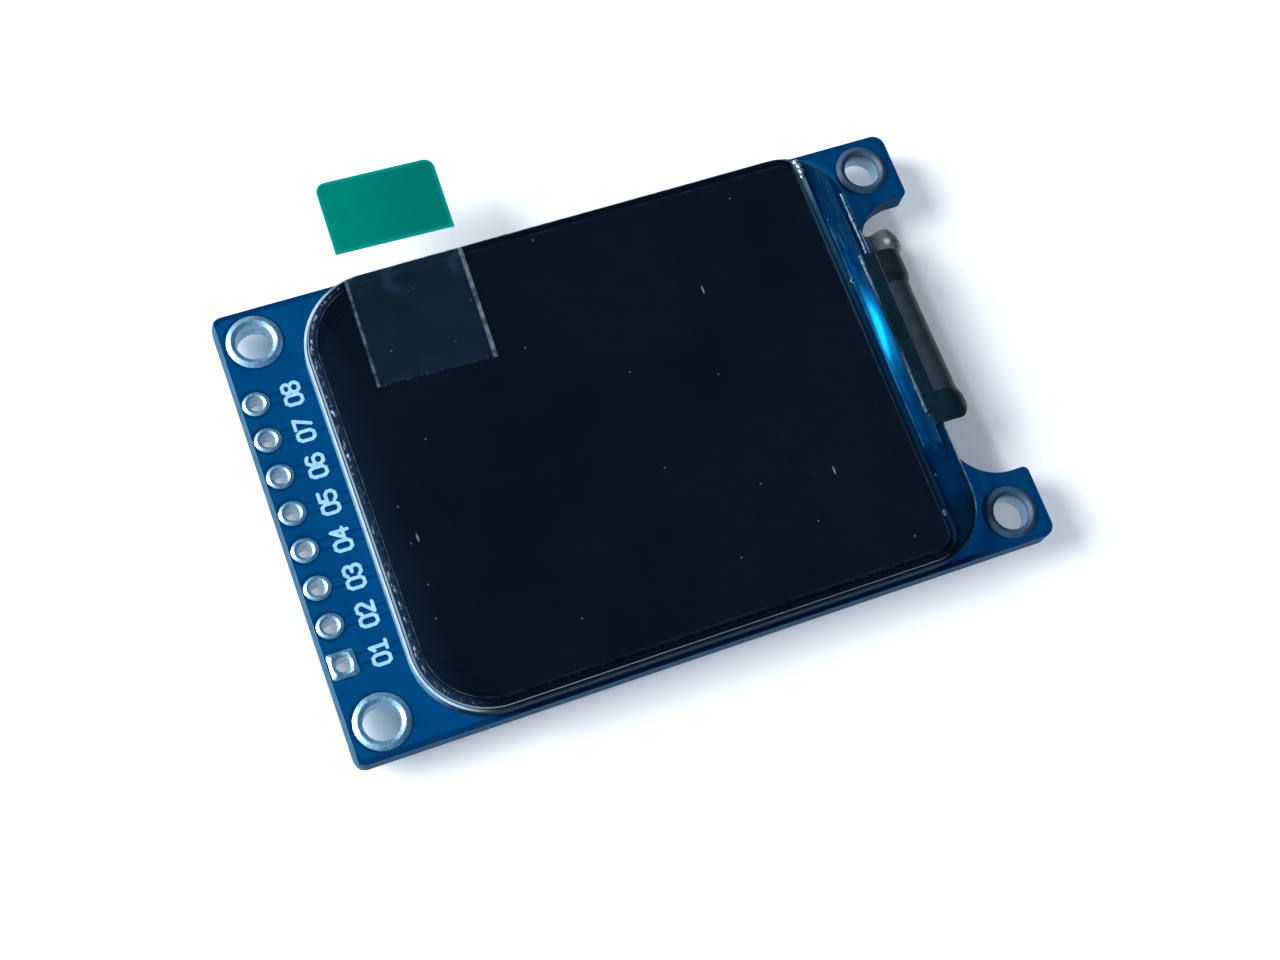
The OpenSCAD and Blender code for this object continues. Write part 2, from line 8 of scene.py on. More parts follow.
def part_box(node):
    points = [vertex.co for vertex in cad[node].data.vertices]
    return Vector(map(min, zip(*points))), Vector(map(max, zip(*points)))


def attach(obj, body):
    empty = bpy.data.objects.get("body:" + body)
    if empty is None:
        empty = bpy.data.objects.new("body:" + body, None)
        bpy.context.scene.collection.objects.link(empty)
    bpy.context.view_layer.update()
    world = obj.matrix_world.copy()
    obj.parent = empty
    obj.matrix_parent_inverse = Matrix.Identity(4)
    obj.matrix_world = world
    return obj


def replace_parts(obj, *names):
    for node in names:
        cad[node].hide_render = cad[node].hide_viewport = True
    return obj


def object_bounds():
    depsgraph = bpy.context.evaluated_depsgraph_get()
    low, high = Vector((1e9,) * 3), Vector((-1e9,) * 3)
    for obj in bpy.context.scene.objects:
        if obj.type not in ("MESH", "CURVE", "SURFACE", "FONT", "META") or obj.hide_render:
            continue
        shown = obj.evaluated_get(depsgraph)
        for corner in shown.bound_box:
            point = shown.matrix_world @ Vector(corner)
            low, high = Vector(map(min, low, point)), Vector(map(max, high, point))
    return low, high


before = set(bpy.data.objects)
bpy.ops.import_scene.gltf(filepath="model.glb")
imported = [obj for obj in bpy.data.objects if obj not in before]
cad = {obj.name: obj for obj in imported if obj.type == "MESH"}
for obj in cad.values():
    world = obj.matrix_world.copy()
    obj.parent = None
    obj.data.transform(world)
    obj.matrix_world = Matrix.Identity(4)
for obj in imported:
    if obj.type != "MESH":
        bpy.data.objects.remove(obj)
cad_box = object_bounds()

# The stage: a camera above the module's header end, a pale table under its lowest parts, one
# broad lamp low on the header side, and a dim room with a dark ceiling over the screen.
scene = bpy.context.scene
scene.view_settings.view_transform = "Standard"
scene.view_settings.look = "None"
camera = bpy.data.objects.new("camera", bpy.data.cameras.new("camera"))
camera.data.sensor_width = 36.0
camera.data.lens = 55.63
camera.data.clip_start = 0.005
camera_place = Vector((-0.030632, -0.036362, 0.120462))
to_right = Vector((0.92798, -0.34768, 0.13409))
down = Vector((-0.29095, -0.90083, -0.32225))
ahead = Vector((0.23283, 0.26003, -0.93711))
camera_turn = Matrix((to_right, -down, -ahead)).transposed().to_4x4()
camera.matrix_world = Matrix.Translation(camera_place) @ camera_turn
scene.collection.objects.link(camera)
scene.camera = camera

lamp = bpy.data.objects.new("window", bpy.data.lights.new("window", "SUN"))
lamp.data.energy = 5.8
lamp.data.angle = math.radians(34)
lamp.rotation_mode = "QUATERNION"
lamp.rotation_quaternion = Vector((-0.81, 0.30, 0.49)).to_track_quat("Z", "Y")
scene.collection.objects.link(lamp)


def fill(tree, made, ins):
    """Sets a node's inputs to plain values, or links them to the outputs of other nodes."""
    for key, value in ins.items():
        if isinstance(value, bpy.types.NodeSocket):
            tree.links.new(value, made.inputs[key])
        else:
            made.inputs[key].default_value = value


def add(tree, kind, ins=None, **settings):
    """Puts a shader node in a tree, with its settings, values and links."""
    made = tree.nodes.new("ShaderNode" + kind)
    for key, value in settings.items():
        setattr(made, key, value)
    fill(tree, made, ins or {})
    return made


def math_of(tree, operation, a, b=0.0):
    return add(tree, "Math", {0: a, 1: b}, operation=operation).outputs[0]


def times(tree, first, *others):
    """The product of several values."""
    for other in others:
        first = math_of(tree, "MULTIPLY", first, other)
    return first


def distance(tree, x, y):
    return math_of(tree, "SQRT", math_of(tree, "ADD", times(tree, x, x), times(tree, y, y)))


def vector_of(tree, operation, a, b=(0.0, 0.0, 0.0), output=0):
    return add(tree, "VectorMath", {0: a, 1: b}, operation=operation).outputs[output]


def split(tree, point):
    return add(tree, "SeparateXYZ", {0: point}).outputs[:]


def ramp(tree, value, low, high, start=0.0, end=1.0):
    """A smooth step from start to end while the value goes from low to high."""
    return add(tree, "MapRange", {0: value, 1: low, 2: high, 3: start, 4: end},
               interpolation_type="SMOOTHSTEP").outputs[0]


def blend(tree, share, a, b):
    """Colour a where share is 0, and b where it is 1."""
    a, b = (c if isinstance(c, bpy.types.NodeSocket) else (*c, 1.0) for c in (a, b))
    return add(tree, "Mix", {0: share, 6: a, 7: b}, data_type="RGBA").outputs[2]


def grain(tree, point, scale, detail=2.0, roughness=0.5):
    """Soft noise from 0 to 1."""
    return add(tree, "TexNoise", {"Vector": point, "Scale": scale, "Detail": detail,
                                  "Roughness": roughness}).outputs[0]


def finish(name, **sockets):
    """A new material, its node tree and its Principled shader, with the plain values set."""
    made = bpy.data.materials.new(name)
    made.use_nodes = True
    shader = made.node_tree.nodes["Principled BSDF"]
    for key, value in sockets.items():
        shader.inputs[key.replace("_", " ")].default_value = value
    return made, made.node_tree, shader


def link(tree, source, shader, socket):
    tree.links.new(source, shader.inputs[socket])


def in_mm(tree):
    """The point on the surface, in the module's own frame and in millimetres."""
    place = add(tree, "TexCoord").outputs["Object"]
    return add(tree, "VectorMath", {0: place, "Scale": 1000.0}, operation="SCALE").outputs[0]


def new_group(name, inputs, output):
    """A shader node group with named float or vector inputs, its own inputs, and its output."""
    made = bpy.data.node_groups.new(name, "ShaderNodeTree")
    for key, value in inputs.items():
        kind = "NodeSocketVector" if isinstance(value, tuple) else "NodeSocketFloat"
        made.interface.new_socket(name=key, in_out="INPUT", socket_type=kind).default_value = value
    made.interface.new_socket(name=output, in_out="OUTPUT", socket_type="NodeSocketFloat")
    return made, made.nodes.new("NodeGroupInput").outputs, made.nodes.new("NodeGroupOutput").inputs[output]


def use(tree, group, **ins):
    """Places a node group in a tree and gives its output."""
    made = tree.nodes.new("ShaderNodeGroup")
    made.node_tree = group
    fill(tree, made, ins)
    return made.outputs[0]


def span(name):
    """The lowest and highest corners of a solid of the frame, in millimetres."""
    return [[round(v * 1000, 4) for v in corner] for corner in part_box(name)]


def plan(name):
    """The middle and the half size of a solid of the frame, as seen from above."""
    low, high = span(name)
    return {"Middle": ((low[0] + high[0]) / 2, (low[1] + high[1]) / 2, 0.0),
            "Half": ((high[0] - low[0]) / 2, (high[1] - low[1]) / 2, 0.0)}


world = bpy.data.worlds.new("room")
world.use_nodes = True
scene.world = world
room = world.node_tree
toward = add(room, "TexCoord").outputs["Generated"]
overhead = vector_of(room, "DOT_PRODUCT", toward, (0.23, 0.27, 0.935), "Value")
ceiling = ramp(room, overhead, 0.62, 0.90)
sideways = ramp(room, split(room, toward)[0], -0.9, 0.2)
low_room = blend(room, sideways, (0.26, 0.42, 0.58), (0.075, 0.165, 0.275))
room.links.new(blend(room, ceiling, low_room, (0.025, 0.06, 0.11)), room.nodes["Background"].inputs["Color"])

# How deep a point lies inside a rectangle with round corners, as seen from above.
inside_edge, given, result = new_group(
    "inside_edge", {"Point": (0.0, 0.0, 0.0), "Middle": (0.0, 0.0, 0.0), "Half": (1.0, 1.0, 0.0),
                    "Corner": 0.5}, "Depth")
offset = vector_of(inside_edge, "SUBTRACT", given["Point"], given["Middle"])
folded = vector_of(inside_edge, "ABSOLUTE", offset)
over = split(inside_edge, vector_of(inside_edge, "SUBTRACT", folded, given["Half"]))
over_x, over_y = (math_of(inside_edge, "ADD", way, given["Corner"]) for way in over[:2])
round_part = distance(inside_edge, *(math_of(inside_edge, "MAXIMUM", way, 0.0) for way in (over_x, over_y)))
flat_part = math_of(inside_edge, "MINIMUM", math_of(inside_edge, "MAXIMUM", over_x, over_y), 0.0)
outside_by = math_of(inside_edge, "ADD", round_part, flat_part)
inside_edge.links.new(math_of(inside_edge, "SUBTRACT", given["Corner"], outside_by), result)

board_corner = 0.8
table_half = 2.0
floor_z = cad_box[0].z
floor_mesh = bpy.data.meshes.new("table")
table_corners = [(x * table_half, y * table_half, floor_z) for x, y in ((-1, -1), (1, -1), (1, 1), (-1, 1))]
floor_mesh.from_pydata(table_corners, [], [(0, 1, 2, 3)])
table = bpy.data.objects.new("table", floor_mesh)
scene.collection.objects.link(table)
pale, tree, shader = finish("pale_table", Roughness=0.9, Specular_IOR_Level=0.1, Emission_Strength=1.0)
point = in_mm(tree)
px, py = split(tree, point)[:2]
# Painted shade: the table's emission is dimmer under the board, most towards the header end.
covered = use(tree, inside_edge, Point=point, Corner=board_corner, **plan("printed_board"))
covered = ramp(tree, covered, -0.2, 0.8)
shade = blend(tree, ramp(tree, px, 0.0, 15.0), (0.05, 0.09, 0.12), (0.24, 0.25, 0.26))
link(tree, blend(tree, covered, (0.43, 0.445, 0.46), shade), shader, "Emission Color")
# Painted shadow: the table is darker under the header's row of holes.
pin_row_shadow = times(tree, ramp(tree, px, -22.2, -21.8, 1.0, 0.0),
                   ramp(tree, math_of(tree, "ABSOLUTE", py), 9.8, 10.6, 1.0, 0.0), covered)
paint = blend(tree, grain(tree, point, 0.4, 3.0), (0.72, 0.72, 0.73), (0.76, 0.76, 0.765))
link(tree, blend(tree, pin_row_shadow, paint, (0.36, 0.35, 0.38)), shader, "Base Color")
floor_mesh.materials.append(pale)

# The printed board: glass fibre under blue solder mask, routed to shape and snapped off along a
# scored edge. Its walls show the laminate in layers, and the mask sinks where no copper is.
board_top = span("printed_board")[1][2]
hole_x, hole_y, fixing_land = 21.5, 13.0, 1.8
header_x, pitch, pins, pin_land = -22.65, 2.54, 8, 0.85
row_half = pins * pitch / 2


def most(tree, first, *others):
    """The highest of several values."""
    for other in others:
        first = math_of(tree, "MAXIMUM", first, other)
    return first


def from_line(tree, value, middle):
    """How far a value is from a middle, either way."""
    return math_of(tree, "ABSOLUTE", math_of(tree, "SUBTRACT", value, middle))


def bump(tree, shader, height, depth_mm):
    """Raises the surface by a height of 0 to 1, whose full depth is given."""
    made = add(tree, "Bump", {"Height": height, "Strength": 1.0, "Distance": depth_mm / 1000})
    link(tree, made.outputs[0], shader, "Normal")


def dress(name, material):
    """Gives a solid of the frame its finish."""
    cad[name].data.materials.clear()
    cad[name].data.materials.append(material)


# Uneven patches of any size, from 0 to 1.
mottle, given, result = new_group("mottle", {"Point": (0.0, 0.0, 0.0), "Scale": 1.0}, "Value")
mottle.links.new(ramp(mottle, grain(mottle, given["Point"], given["Scale"], 5.0, 0.6), 0.3, 0.7), result)

# Where a surface stands upright, or nearly so.
walls, given, result = new_group("walls", {"Sharp": 0.1}, "Wall")
upright = math_of(walls, "ABSOLUTE", split(walls, add(walls, "NewGeometry").outputs["Normal"])[2])
lying = math_of(walls, "SUBTRACT", upright, given["Sharp"])
walls.links.new(ramp(walls, lying, 0.45, 0.65, 1.0, 0.0), result)

solder_mask, tree, shader = finish("blue_solder_mask", IOR=1.5, Specular_IOR_Level=0.08,
                                   Specular_Tint=(0.25, 0.8, 1.0, 1.0))
point = in_mm(tree)
px, py, pz = split(tree, point)
front = ramp(tree, pz, 0.4, 1.5)
wall = use(tree, walls)
cloud = use(tree, mottle, Point=point, Scale=0.35)
speckle = use(tree, mottle, Point=point, Scale=7.0)
# No copper lies along the edge, round the holes and beside the tracks of the header.
depth = use(tree, inside_edge, Point=point, Corner=board_corner, **plan("printed_board"))
edge_band = ramp(tree, depth, 0.30, 0.40, 1.0, 0.0)
hole_off = distance(tree, from_line(tree, math_of(tree, "ABSOLUTE", px), hole_x),
                    from_line(tree, math_of(tree, "ABSOLUTE", py), hole_y))
hole_gap = ramp(tree, hole_off, fixing_land + 0.10, fixing_land + 0.22, 1.0, 0.0)
step = math_of(tree, "ADD", math_of(tree, "DIVIDE", py, pitch), 0.5)
pin_y = times(tree, math_of(tree, "SUBTRACT", step, math_of(tree, "ROUND", step)), pitch)
pin_off = distance(tree, math_of(tree, "SUBTRACT", px, header_x), pin_y)
pin_gap = ramp(tree, pin_off, pin_land + 0.11, pin_land + 0.21, 1.0, 0.0)
in_row = ramp(tree, math_of(tree, "ABSOLUTE", py), row_half + 0.04, row_half + 0.14, 1.0, 0.0)
track_side = from_line(tree, math_of(tree, "ABSOLUTE", pin_y), 0.34)
track_gap = times(tree, ramp(tree, track_side, 0.05, 0.11, 1.0, 0.0), ramp(tree, px, -21.9, -21.7),
                  ramp(tree, px, -19.1, -18.7, 0.8, 0.0), front)
bare = most(tree, edge_band, hole_gap, times(tree, in_row, most(tree, pin_gap, track_gap)))
blue = blend(tree, cloud, (0.0, 0.055, 0.172), (0.0, 0.064, 0.196))
# Painted shade: the mask darkens towards the end away from the lamp.
blue = blend(tree, ramp(tree, px, -20.0, 24.0), blue, (0.0, 0.044, 0.134))
# Painted light: the mask is paler in the panel's shadow on the side turned from the lamp.
tray_plan = plan("backlight_tray")
panel_shadow_middle = (tray_plan["Middle"][0] + 0.75, -0.28, 0.0)
in_panel_shadow = use(tree, inside_edge, Point=point, Middle=panel_shadow_middle, Half=tray_plan["Half"], Corner=4.9)
painted_light_in_shadow = times(tree, ramp(tree, in_panel_shadow, -1.2, 0.3), ramp(tree, px, 15.0, 18.5), front)
blue = blend(tree, painted_light_in_shadow, blue, (0.0, 0.33, 0.75))
blue = blend(tree, bare, blue, (0.0, 0.036, 0.118))
layers = grain(tree, vector_of(tree, "MULTIPLY", point, (1.2, 1.2, 14.0)), 1.0, 6.0)
laminate = blend(tree, ramp(tree, layers, 0.35, 0.65), (0.022, 0.080, 0.140), (0.055, 0.125, 0.195))
into_notch = math_of(tree, "SUBTRACT", px, math_of(tree, "ABSOLUTE", py))
in_notch = times(tree, ramp(tree, px, 20.0, 22.0, 1.0, 0.0), ramp(tree, into_notch, 7.0, 8.0))
laminate = blend(tree, in_notch, laminate, (0.19, 0.21, 0.25))
link(tree, blend(tree, wall, blue, laminate), shader, "Base Color")
link(tree, most(tree, ramp(tree, speckle, 0.0, 1.0, 0.24, 0.34), times(tree, wall, 0.8)), shader, "Roughness")
raised = math_of(tree, "ADD", times(tree, speckle, 0.05), math_of(tree, "SUBTRACT", 1.0, bare))
bump(tree, shader, times(tree, raised, 0.5), 0.03)
dress("printed_board", solder_mask)

# Plated holes: copper barrels with domed lands, dipped in tin and blown off with hot air. The
# tin is wavy with darker grains and thickest in the middle of each land. Beside the flex it is
# painted dark, as painted shade where the panel shades it.
fixing_bore, pin_bore = 1.25, 0.525
round_land, square_land = 2, 12
pin_places = [(i - (pins - 1) / 2) * pitch for i in range(pins)]


def piece(name, points, faces, material, smooth=True):
    """A mesh piece from points in millimetres, which rides on the module."""
    mesh = bpy.data.meshes.new(name)
    mesh.from_pydata([(x / 1000, y / 1000, z / 1000) for x, y, z in points], [], faces)
    mesh.validate()
    outward = bmesh.new()
    outward.from_mesh(mesh)
    bmesh.ops.recalc_face_normals(outward, faces=outward.faces)
    outward.to_mesh(mesh)
    outward.free()
    mesh.materials.append(material)
    if smooth:
        mesh.shade_smooth()
        mesh.set_sharp_from_angle(angle=math.radians(50))
    made = bpy.data.objects.new(name, mesh)
    scene.collection.objects.link(made)
    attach(made, "root")
    return made


def eyelet(points, faces, x, y, bore, land, corners=round_land, oval=(1.0, 1.0)):
    """Adds one plated hole, with an arch of tin from the land's edge to the bore on each face.

    The land's outline is round where corners is 2, and squarer the higher it is.
    """
    around, steps = 48, 12
    plating, lift_off = 0.05, 0.01
    barrel_low, barrel_high = 0.5, 1.1
    arch_high, waviness, wave_r = 0.29, 0.10, 1.5
    crest_at, crest_soft, rim_level = 0.55, 0.25, 1.03
    throat = bore - plating
    base = len(points)
    for k in range(around):
        c, s = math.cos(2 * math.pi * k / around), math.sin(2 * math.pi * k / around)
        reach = land / (abs(c / oval[0]) ** corners + abs(s / oval[1]) ** corners) ** (1 / corners)
        wave = noise.noise(Vector((x + wave_r * c, y + wave_r * s, 0.5)))
        crest = arch_high * (reach - throat) * (1 + waviness * wave)
        arch = []
        for i in range(steps + 1):
            share = i / steps
            off = (share - crest_at) / (crest_at if share < crest_at else 1 - crest_at)
            hump = (rim_level - math.hypot(off, crest_soft)) / (rim_level - crest_soft)
            arch.append((reach + (throat - reach) * share, lift_off + crest * hump))
        section = [(reach, board_top)] + [(r, board_top + lift) for r, lift in arch]
        section += [(bore, barrel_high), (bore, barrel_low)] + [(r, -lift) for r, lift in reversed(arch)]
        section += [(reach, 0.0), (bore + plating, 0.0), (bore + plating, board_top)]
        points += [(x + r * c, y + r * s, z) for r, z in section]
    ring = (len(points) - base) // around
    for k in range(around):
        a, b = base + k * ring, base + (k + 1) % around * ring
        faces += [(a + i, a + (i + 1) % ring, b + (i + 1) % ring, b + i) for i in range(ring)]


def tinned(name, smoothest, roughest):
    """Hot-air tin, between two roughnesses, with painted shade on the face beside the panel's flex."""
    made, tree, shader = finish(name, Coat_Roughness=0.16, Coat_IOR=2.2)
    point = in_mm(tree)
    px, _, pz = split(tree, point)
    waves, grains, pits = (use(tree, mottle, Point=point, Scale=scale) for scale in (2.2, 5.0, 14.0))
    bright = blend(tree, waves, (0.29, 0.55, 0.72), (0.46, 0.73, 0.88))
    bright = blend(tree, ramp(tree, grains, 0.45, 0.95, 0.0, 0.55), bright, (0.13, 0.29, 0.42))
    shaded_tin = blend(tree, waves, (0.020, 0.056, 0.098), (0.033, 0.078, 0.127))
    # Painted shade: beside the flex, where the panel shades it, the tin is dark and not metal.
    panel_shade = times(tree, ramp(tree, px, 8.0, 16.0), ramp(tree, pz, 0.4, 1.5))
    out_of_panel_shade = math_of(tree, "SUBTRACT", 1.0, panel_shade)
    link(tree, blend(tree, panel_shade, bright, shaded_tin), shader, "Base Color")
    link(tree, ramp(tree, pits, 0.0, 1.0, smoothest, roughest), shader, "Roughness")
    link(tree, out_of_panel_shade, shader, "Metallic")
    link(tree, out_of_panel_shade, shader, "Coat Weight")
    uneven = math_of(tree, "ADD", times(tree, grains, 0.6), times(tree, pits, 0.12))
    bump(tree, shader, math_of(tree, "ADD", waves, uneven), 0.008)
    return made


tin = tinned("hot_air_tin", 0.50, 0.60)
pin_tin = tinned("pin_tin", 0.48, 0.58)
points, faces = [], []
for x in (-hole_x, hole_x):
    for y in (-hole_y, hole_y):
        eyelet(points, faces, x, y, fixing_bore, fixing_land)
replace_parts(piece("fixing_eyelets", points, faces, tin), "mounting_eyelets")
points, faces = [], []
eyelet(points, faces, header_x, pin_places[0], pin_bore, pin_land, square_land)
for y in pin_places[1:]:
    eyelet(points, faces, header_x, y, pin_bore, pin_land, oval=(1.02, 0.94))
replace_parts(piece("pin_eyelets", points, faces, pin_tin), "header_eyelets")

# The legend: plain pin numbers in white ink, screen printed beside the header holes in strokes
# of one width, so thin that the blue mask tints them.
numeral_strokes = {
    "0": [[(0, 0.2), (0, 0.8), (0.15, 1), (0.45, 1), (0.6, 0.8), (0.6, 0.2), (0.45, 0), (0.15, 0), (0, 0.2)]],
    "1": [[(0.1, 0.75), (0.32, 1), (0.32, 0)], [(0.08, 0), (0.56, 0)]],
    "2": [[(0, 0.8), (0.15, 1), (0.45, 1), (0.6, 0.8), (0.6, 0.62), (0, 0), (0.6, 0)]],
    "3": [[(0, 0.85), (0.15, 1), (0.45, 1), (0.6, 0.85), (0.6, 0.67), (0.45, 0.53), (0.25, 0.53)],
          [(0.45, 0.53), (0.6, 0.38), (0.6, 0.17), (0.45, 0), (0.15, 0), (0, 0.15)]],
    "4": [[(0.45, 0), (0.45, 1), (0, 0.3), (0.62, 0.3)]],
    "5": [[(0.58, 1), (0.05, 1), (0.02, 0.57), (0.4, 0.6), (0.6, 0.43), (0.6, 0.18), (0.43, 0), (0.15, 0),
           (0, 0.13)]],
    "6": [[(0.55, 0.9), (0.42, 1), (0.18, 1), (0, 0.75), (0, 0.2), (0.15, 0), (0.45, 0), (0.6, 0.18),
           (0.6, 0.4), (0.45, 0.57), (0.15, 0.57), (0, 0.4)]],
    "7": [[(0, 1), (0.6, 1), (0.2, 0)]],
    "8": [[(0.15, 0.54), (0.02, 0.7), (0.02, 0.85), (0.15, 1), (0.45, 1), (0.58, 0.85), (0.58, 0.7),
           (0.45, 0.54), (0.15, 0.54), (0, 0.38), (0, 0.16), (0.15, 0), (0.45, 0), (0.6, 0.16), (0.6, 0.38),
           (0.45, 0.54)]],
}
numeral_high, baseline_x = 1.05, -19.77
first_numeral, next_numeral = -0.725, 0.82
stroke_wide, ink_thick, ink_step = 0.22, 0.012, 0.0004


def ink_stroke(points, faces, a, b, width, low, high):
    """One round-ended stroke from a to b, added to a mesh's points and faces."""
    along = math.atan2(b[1] - a[1], b[0] - a[0])
    round_steps = 8
    ring = []
    for end, turn in ((b, -math.pi / 2), (a, math.pi / 2)):
        for i in range(round_steps + 1):
            angle = along + turn + math.pi * i / round_steps
            ring.append((end[0] + width / 2 * math.cos(angle), end[1] + width / 2 * math.sin(angle)))
    base, count = len(points), len(ring)
    points += [(x, y, low) for x, y in ring] + [(x, y, high) for x, y in ring]
    faces.append(tuple(range(base + count, base + 2 * count)))
    for i in range(count):
        after = (i + 1) % count
        faces.append((base + i, base + after, base + count + after, base + count + i))


ink, tree, shader = finish("white_legend_ink", Roughness=0.55)
thin_ink = use(tree, mottle, Point=in_mm(tree), Scale=2.5)
link(tree, blend(tree, thin_ink, (0.30, 0.58, 0.84), (0.44, 0.72, 0.94)), shader, "Base Color")
bump(tree, shader, thin_ink, 0.01)
points, faces = [], []
for i, pin_place in enumerate(pin_places):
    for k, numeral in enumerate("0%d" % (i + 1)):
        start_y = pin_place + first_numeral + next_numeral * k
        # Each stroke ends a little higher than the last, so that no two faces lie in one plane.
        ink_top = board_top + ink_thick
        for stroke in numeral_strokes[numeral]:
            spots = [(baseline_x - gy * numeral_high, start_y + gx * numeral_high) for gx, gy in stroke]
            for a, b in zip(spots, spots[1:]):
                ink_top += ink_step
                ink_stroke(points, faces, a, b, stroke_wide, board_top, ink_top)
piece("pin_numbers", points, faces, ink, smooth=False)

# The backlight: a white moulded frame holds a mirror foil, a clear light guide with its lamps,
# and milky and ribbed sheets. Tape sticks it to the board and to the glass above.
rib_half = 0.05


def mottled(name, scale, dark, light, **sockets):
    """A finish whose colour drifts between two shades."""
    made, tree, shader = finish(name, **sockets)
    patches = use(tree, mottle, Point=in_mm(tree), Scale=scale)
    link(tree, blend(tree, patches, dark, light), shader, "Base Color")
    return made


white_moulding = mottled("white_moulding", 1.5, (0.78, 0.79, 0.80), (0.86, 0.86, 0.86), Roughness=0.5)
foil = mottled("silvered_foil", 0.8, (0.80, 0.81, 0.83), (0.90, 0.90, 0.91), Roughness=0.18, Metallic=1.0)
milky = mottled("milky_sheet", 0.6, (0.80, 0.82, 0.84), (0.88, 0.89, 0.90), Roughness=0.45)
black_tape = mottled("black_tape", 4.0, (0.006, 0.006, 0.007), (0.018, 0.018, 0.02), Roughness=0.6)
phosphor = mottled("yellow_phosphor", 6.0, (0.72, 0.56, 0.10), (0.84, 0.72, 0.26), Roughness=0.4)
ribbed, tree, shader = finish("ribbed_sheet", Roughness=0.25)
ribs = math_of(tree, "PINGPONG", split(tree, in_mm(tree))[1], rib_half)
link(tree, blend(tree, ramp(tree, ribs, 0.0, rib_half), (0.62, 0.66, 0.70), (0.82, 0.85, 0.88)),
     shader, "Base Color")
bump(tree, shader, times(tree, ribs, 1 / rib_half), 0.02)
clear_guide, tree, shader = finish("clear_guide", Roughness=0.1, IOR=1.49)
dots = add(tree, "TexVoronoi", {"Vector": in_mm(tree), "Scale": 2.5}).outputs["Distance"]
link(tree, blend(tree, ramp(tree, dots, 0.10, 0.16, 1.0, 0.0), (0.66, 0.74, 0.74), (0.86, 0.88, 0.88)),
     shader, "Base Color")
for name, material in (("mounting_tape", milky), ("backlight_frame", white_moulding),
                       ("reflector_sheet", foil), ("light_guide", clear_guide), ("diffuser_sheet", milky),
                       ("lower_prism_sheet", ribbed), ("upper_prism_sheet", ribbed),
                       ("rim_tape", black_tape), ("backlight_leds", phosphor)):
    dress(name, material)

# The tray: thin steel, pressed and folded up round the backlight. Its lip is painted pale at the
# header end, as painted light on the side toward the lamp; elsewhere its cut lip is worn and
# patchy. The walls along its long sides are darker than those at its ends.
tail_middle_y = 7.4
steel, tree, shader = finish("coated_steel", IOR=1.5, Specular_IOR_Level=0.06,
                             Specular_Tint=(0.45, 0.80, 1.0, 1.0))
point = in_mm(tree)
px, py = split(tree, point)[:2]
wall = use(tree, walls)
drawn = grain(tree, vector_of(tree, "MULTIPLY", point, (1.0, 1.0, 1.6)), 1.6, 5.0)
patches = ramp(tree, drawn, 0.3, 0.7)
# Painted light: the lip at the header end, toward the lamp, is painted pale.
lamp_side_lip = blend(tree, patches, (0.46, 0.62, 0.74), (0.60, 0.74, 0.84))
outside = blend(tree, patches, (0.07, 0.18, 0.29), (0.12, 0.25, 0.37))
long_side_tone = blend(tree, patches, (0.004, 0.018, 0.032), (0.012, 0.030, 0.048))
# Walls that face along Y take a darker tone than walls that face along X.
facing_side = math_of(tree, "ABSOLUTE", split(tree, add(tree, "NewGeometry").outputs["Normal"])[1])
sides = blend(tree, ramp(tree, facing_side, 0.45, 0.85), outside, long_side_tone)
worn = blend(tree, ramp(tree, drawn, 0.40, 0.60), (0.09, 0.18, 0.24), (0.23, 0.36, 0.44))
# The worn lip is darker at the far corner by the flex and along the -Y side, and paler beside the backlight's
# tail.
far_corner = times(tree, ramp(tree, px, 8.0, 14.0), ramp(tree, py, 4.0, 8.0))
worn = blend(tree, far_corner, worn, (0.012, 0.070, 0.125))
worn = blend(tree, ramp(tree, py, -13.5, -11.5, 0.94, 0.0), worn, (0.004, 0.020, 0.034))
by_tail = times(tree, ramp(tree, px, 18.7, 18.9),
                ramp(tree, from_line(tree, py, tail_middle_y), 0.7, 1.2, 1.0, 0.0))
worn = blend(tree, by_tail, worn, (0.26, 0.38, 0.48))
lip = blend(tree, ramp(tree, px, -18.0, -14.8), lamp_side_lip, worn)
link(tree, blend(tree, wall, lip, sides), shader, "Base Color")
link(tree, ramp(tree, drawn, 0.3, 0.7, 0.40, 0.55), shader, "Roughness")
bump(tree, shader, drawn, 0.008)
dress("backlight_tray", steel)

# The glass: a lower plate with a ledge and a shorter upper one, cemented together round the
# edge. A black mask darkens the rim, and the cut edges are ground to a frosted grey.
glass_edge_x = span("colour_filter_glass")[1][0]
cell_glass, tree, shader = finish("dark_cell_glass", IOR=1.52, Specular_IOR_Level=0.2)
point = in_mm(tree)
px, py = split(tree, point)[:2]
wall = use(tree, walls)
chips = use(tree, mottle, Point=point, Scale=5.5)
ground = blend(tree, chips, (0.08, 0.11, 0.14), (0.22, 0.29, 0.36))
lit_edge = times(tree, ramp(tree, py, -14.6, -12.5, 1.0, 0.0), ramp(tree, px, -13.0, 6.0, 0.50, 0.14))
ground = blend(tree, lit_edge, ground, (0.58, 0.68, 0.78))
cloud = use(tree, mottle, Point=point, Scale=0.3)
face = blend(tree, cloud, (0.0012, 0.0034, 0.0074), (0.0018, 0.0046, 0.0095))
# The margin beside the ledge is paler, and on the ledge itself the bare tracks show.
margin_tone = blend(tree, ramp(tree, py, 1.0, 10.5), (0.003, 0.018, 0.047), (0.012, 0.066, 0.118))
margin_tone = blend(tree, ramp(tree, py, 10.3, 12.6), margin_tone, (0.085, 0.155, 0.195))
face = blend(tree, ramp(tree, px, 16.2, 16.5), face, margin_tone)
tracks = blend(tree, use(tree, mottle, Point=point, Scale=1.4), (0.0, 0.012, 0.045), (0.0, 0.022, 0.075))
tracks = blend(tree, ramp(tree, py, -12.6, -10.2), (0.001, 0.004, 0.010), tracks)
face = blend(tree, ramp(tree, px, glass_edge_x + 0.01, glass_edge_x + 0.07), face, tracks)
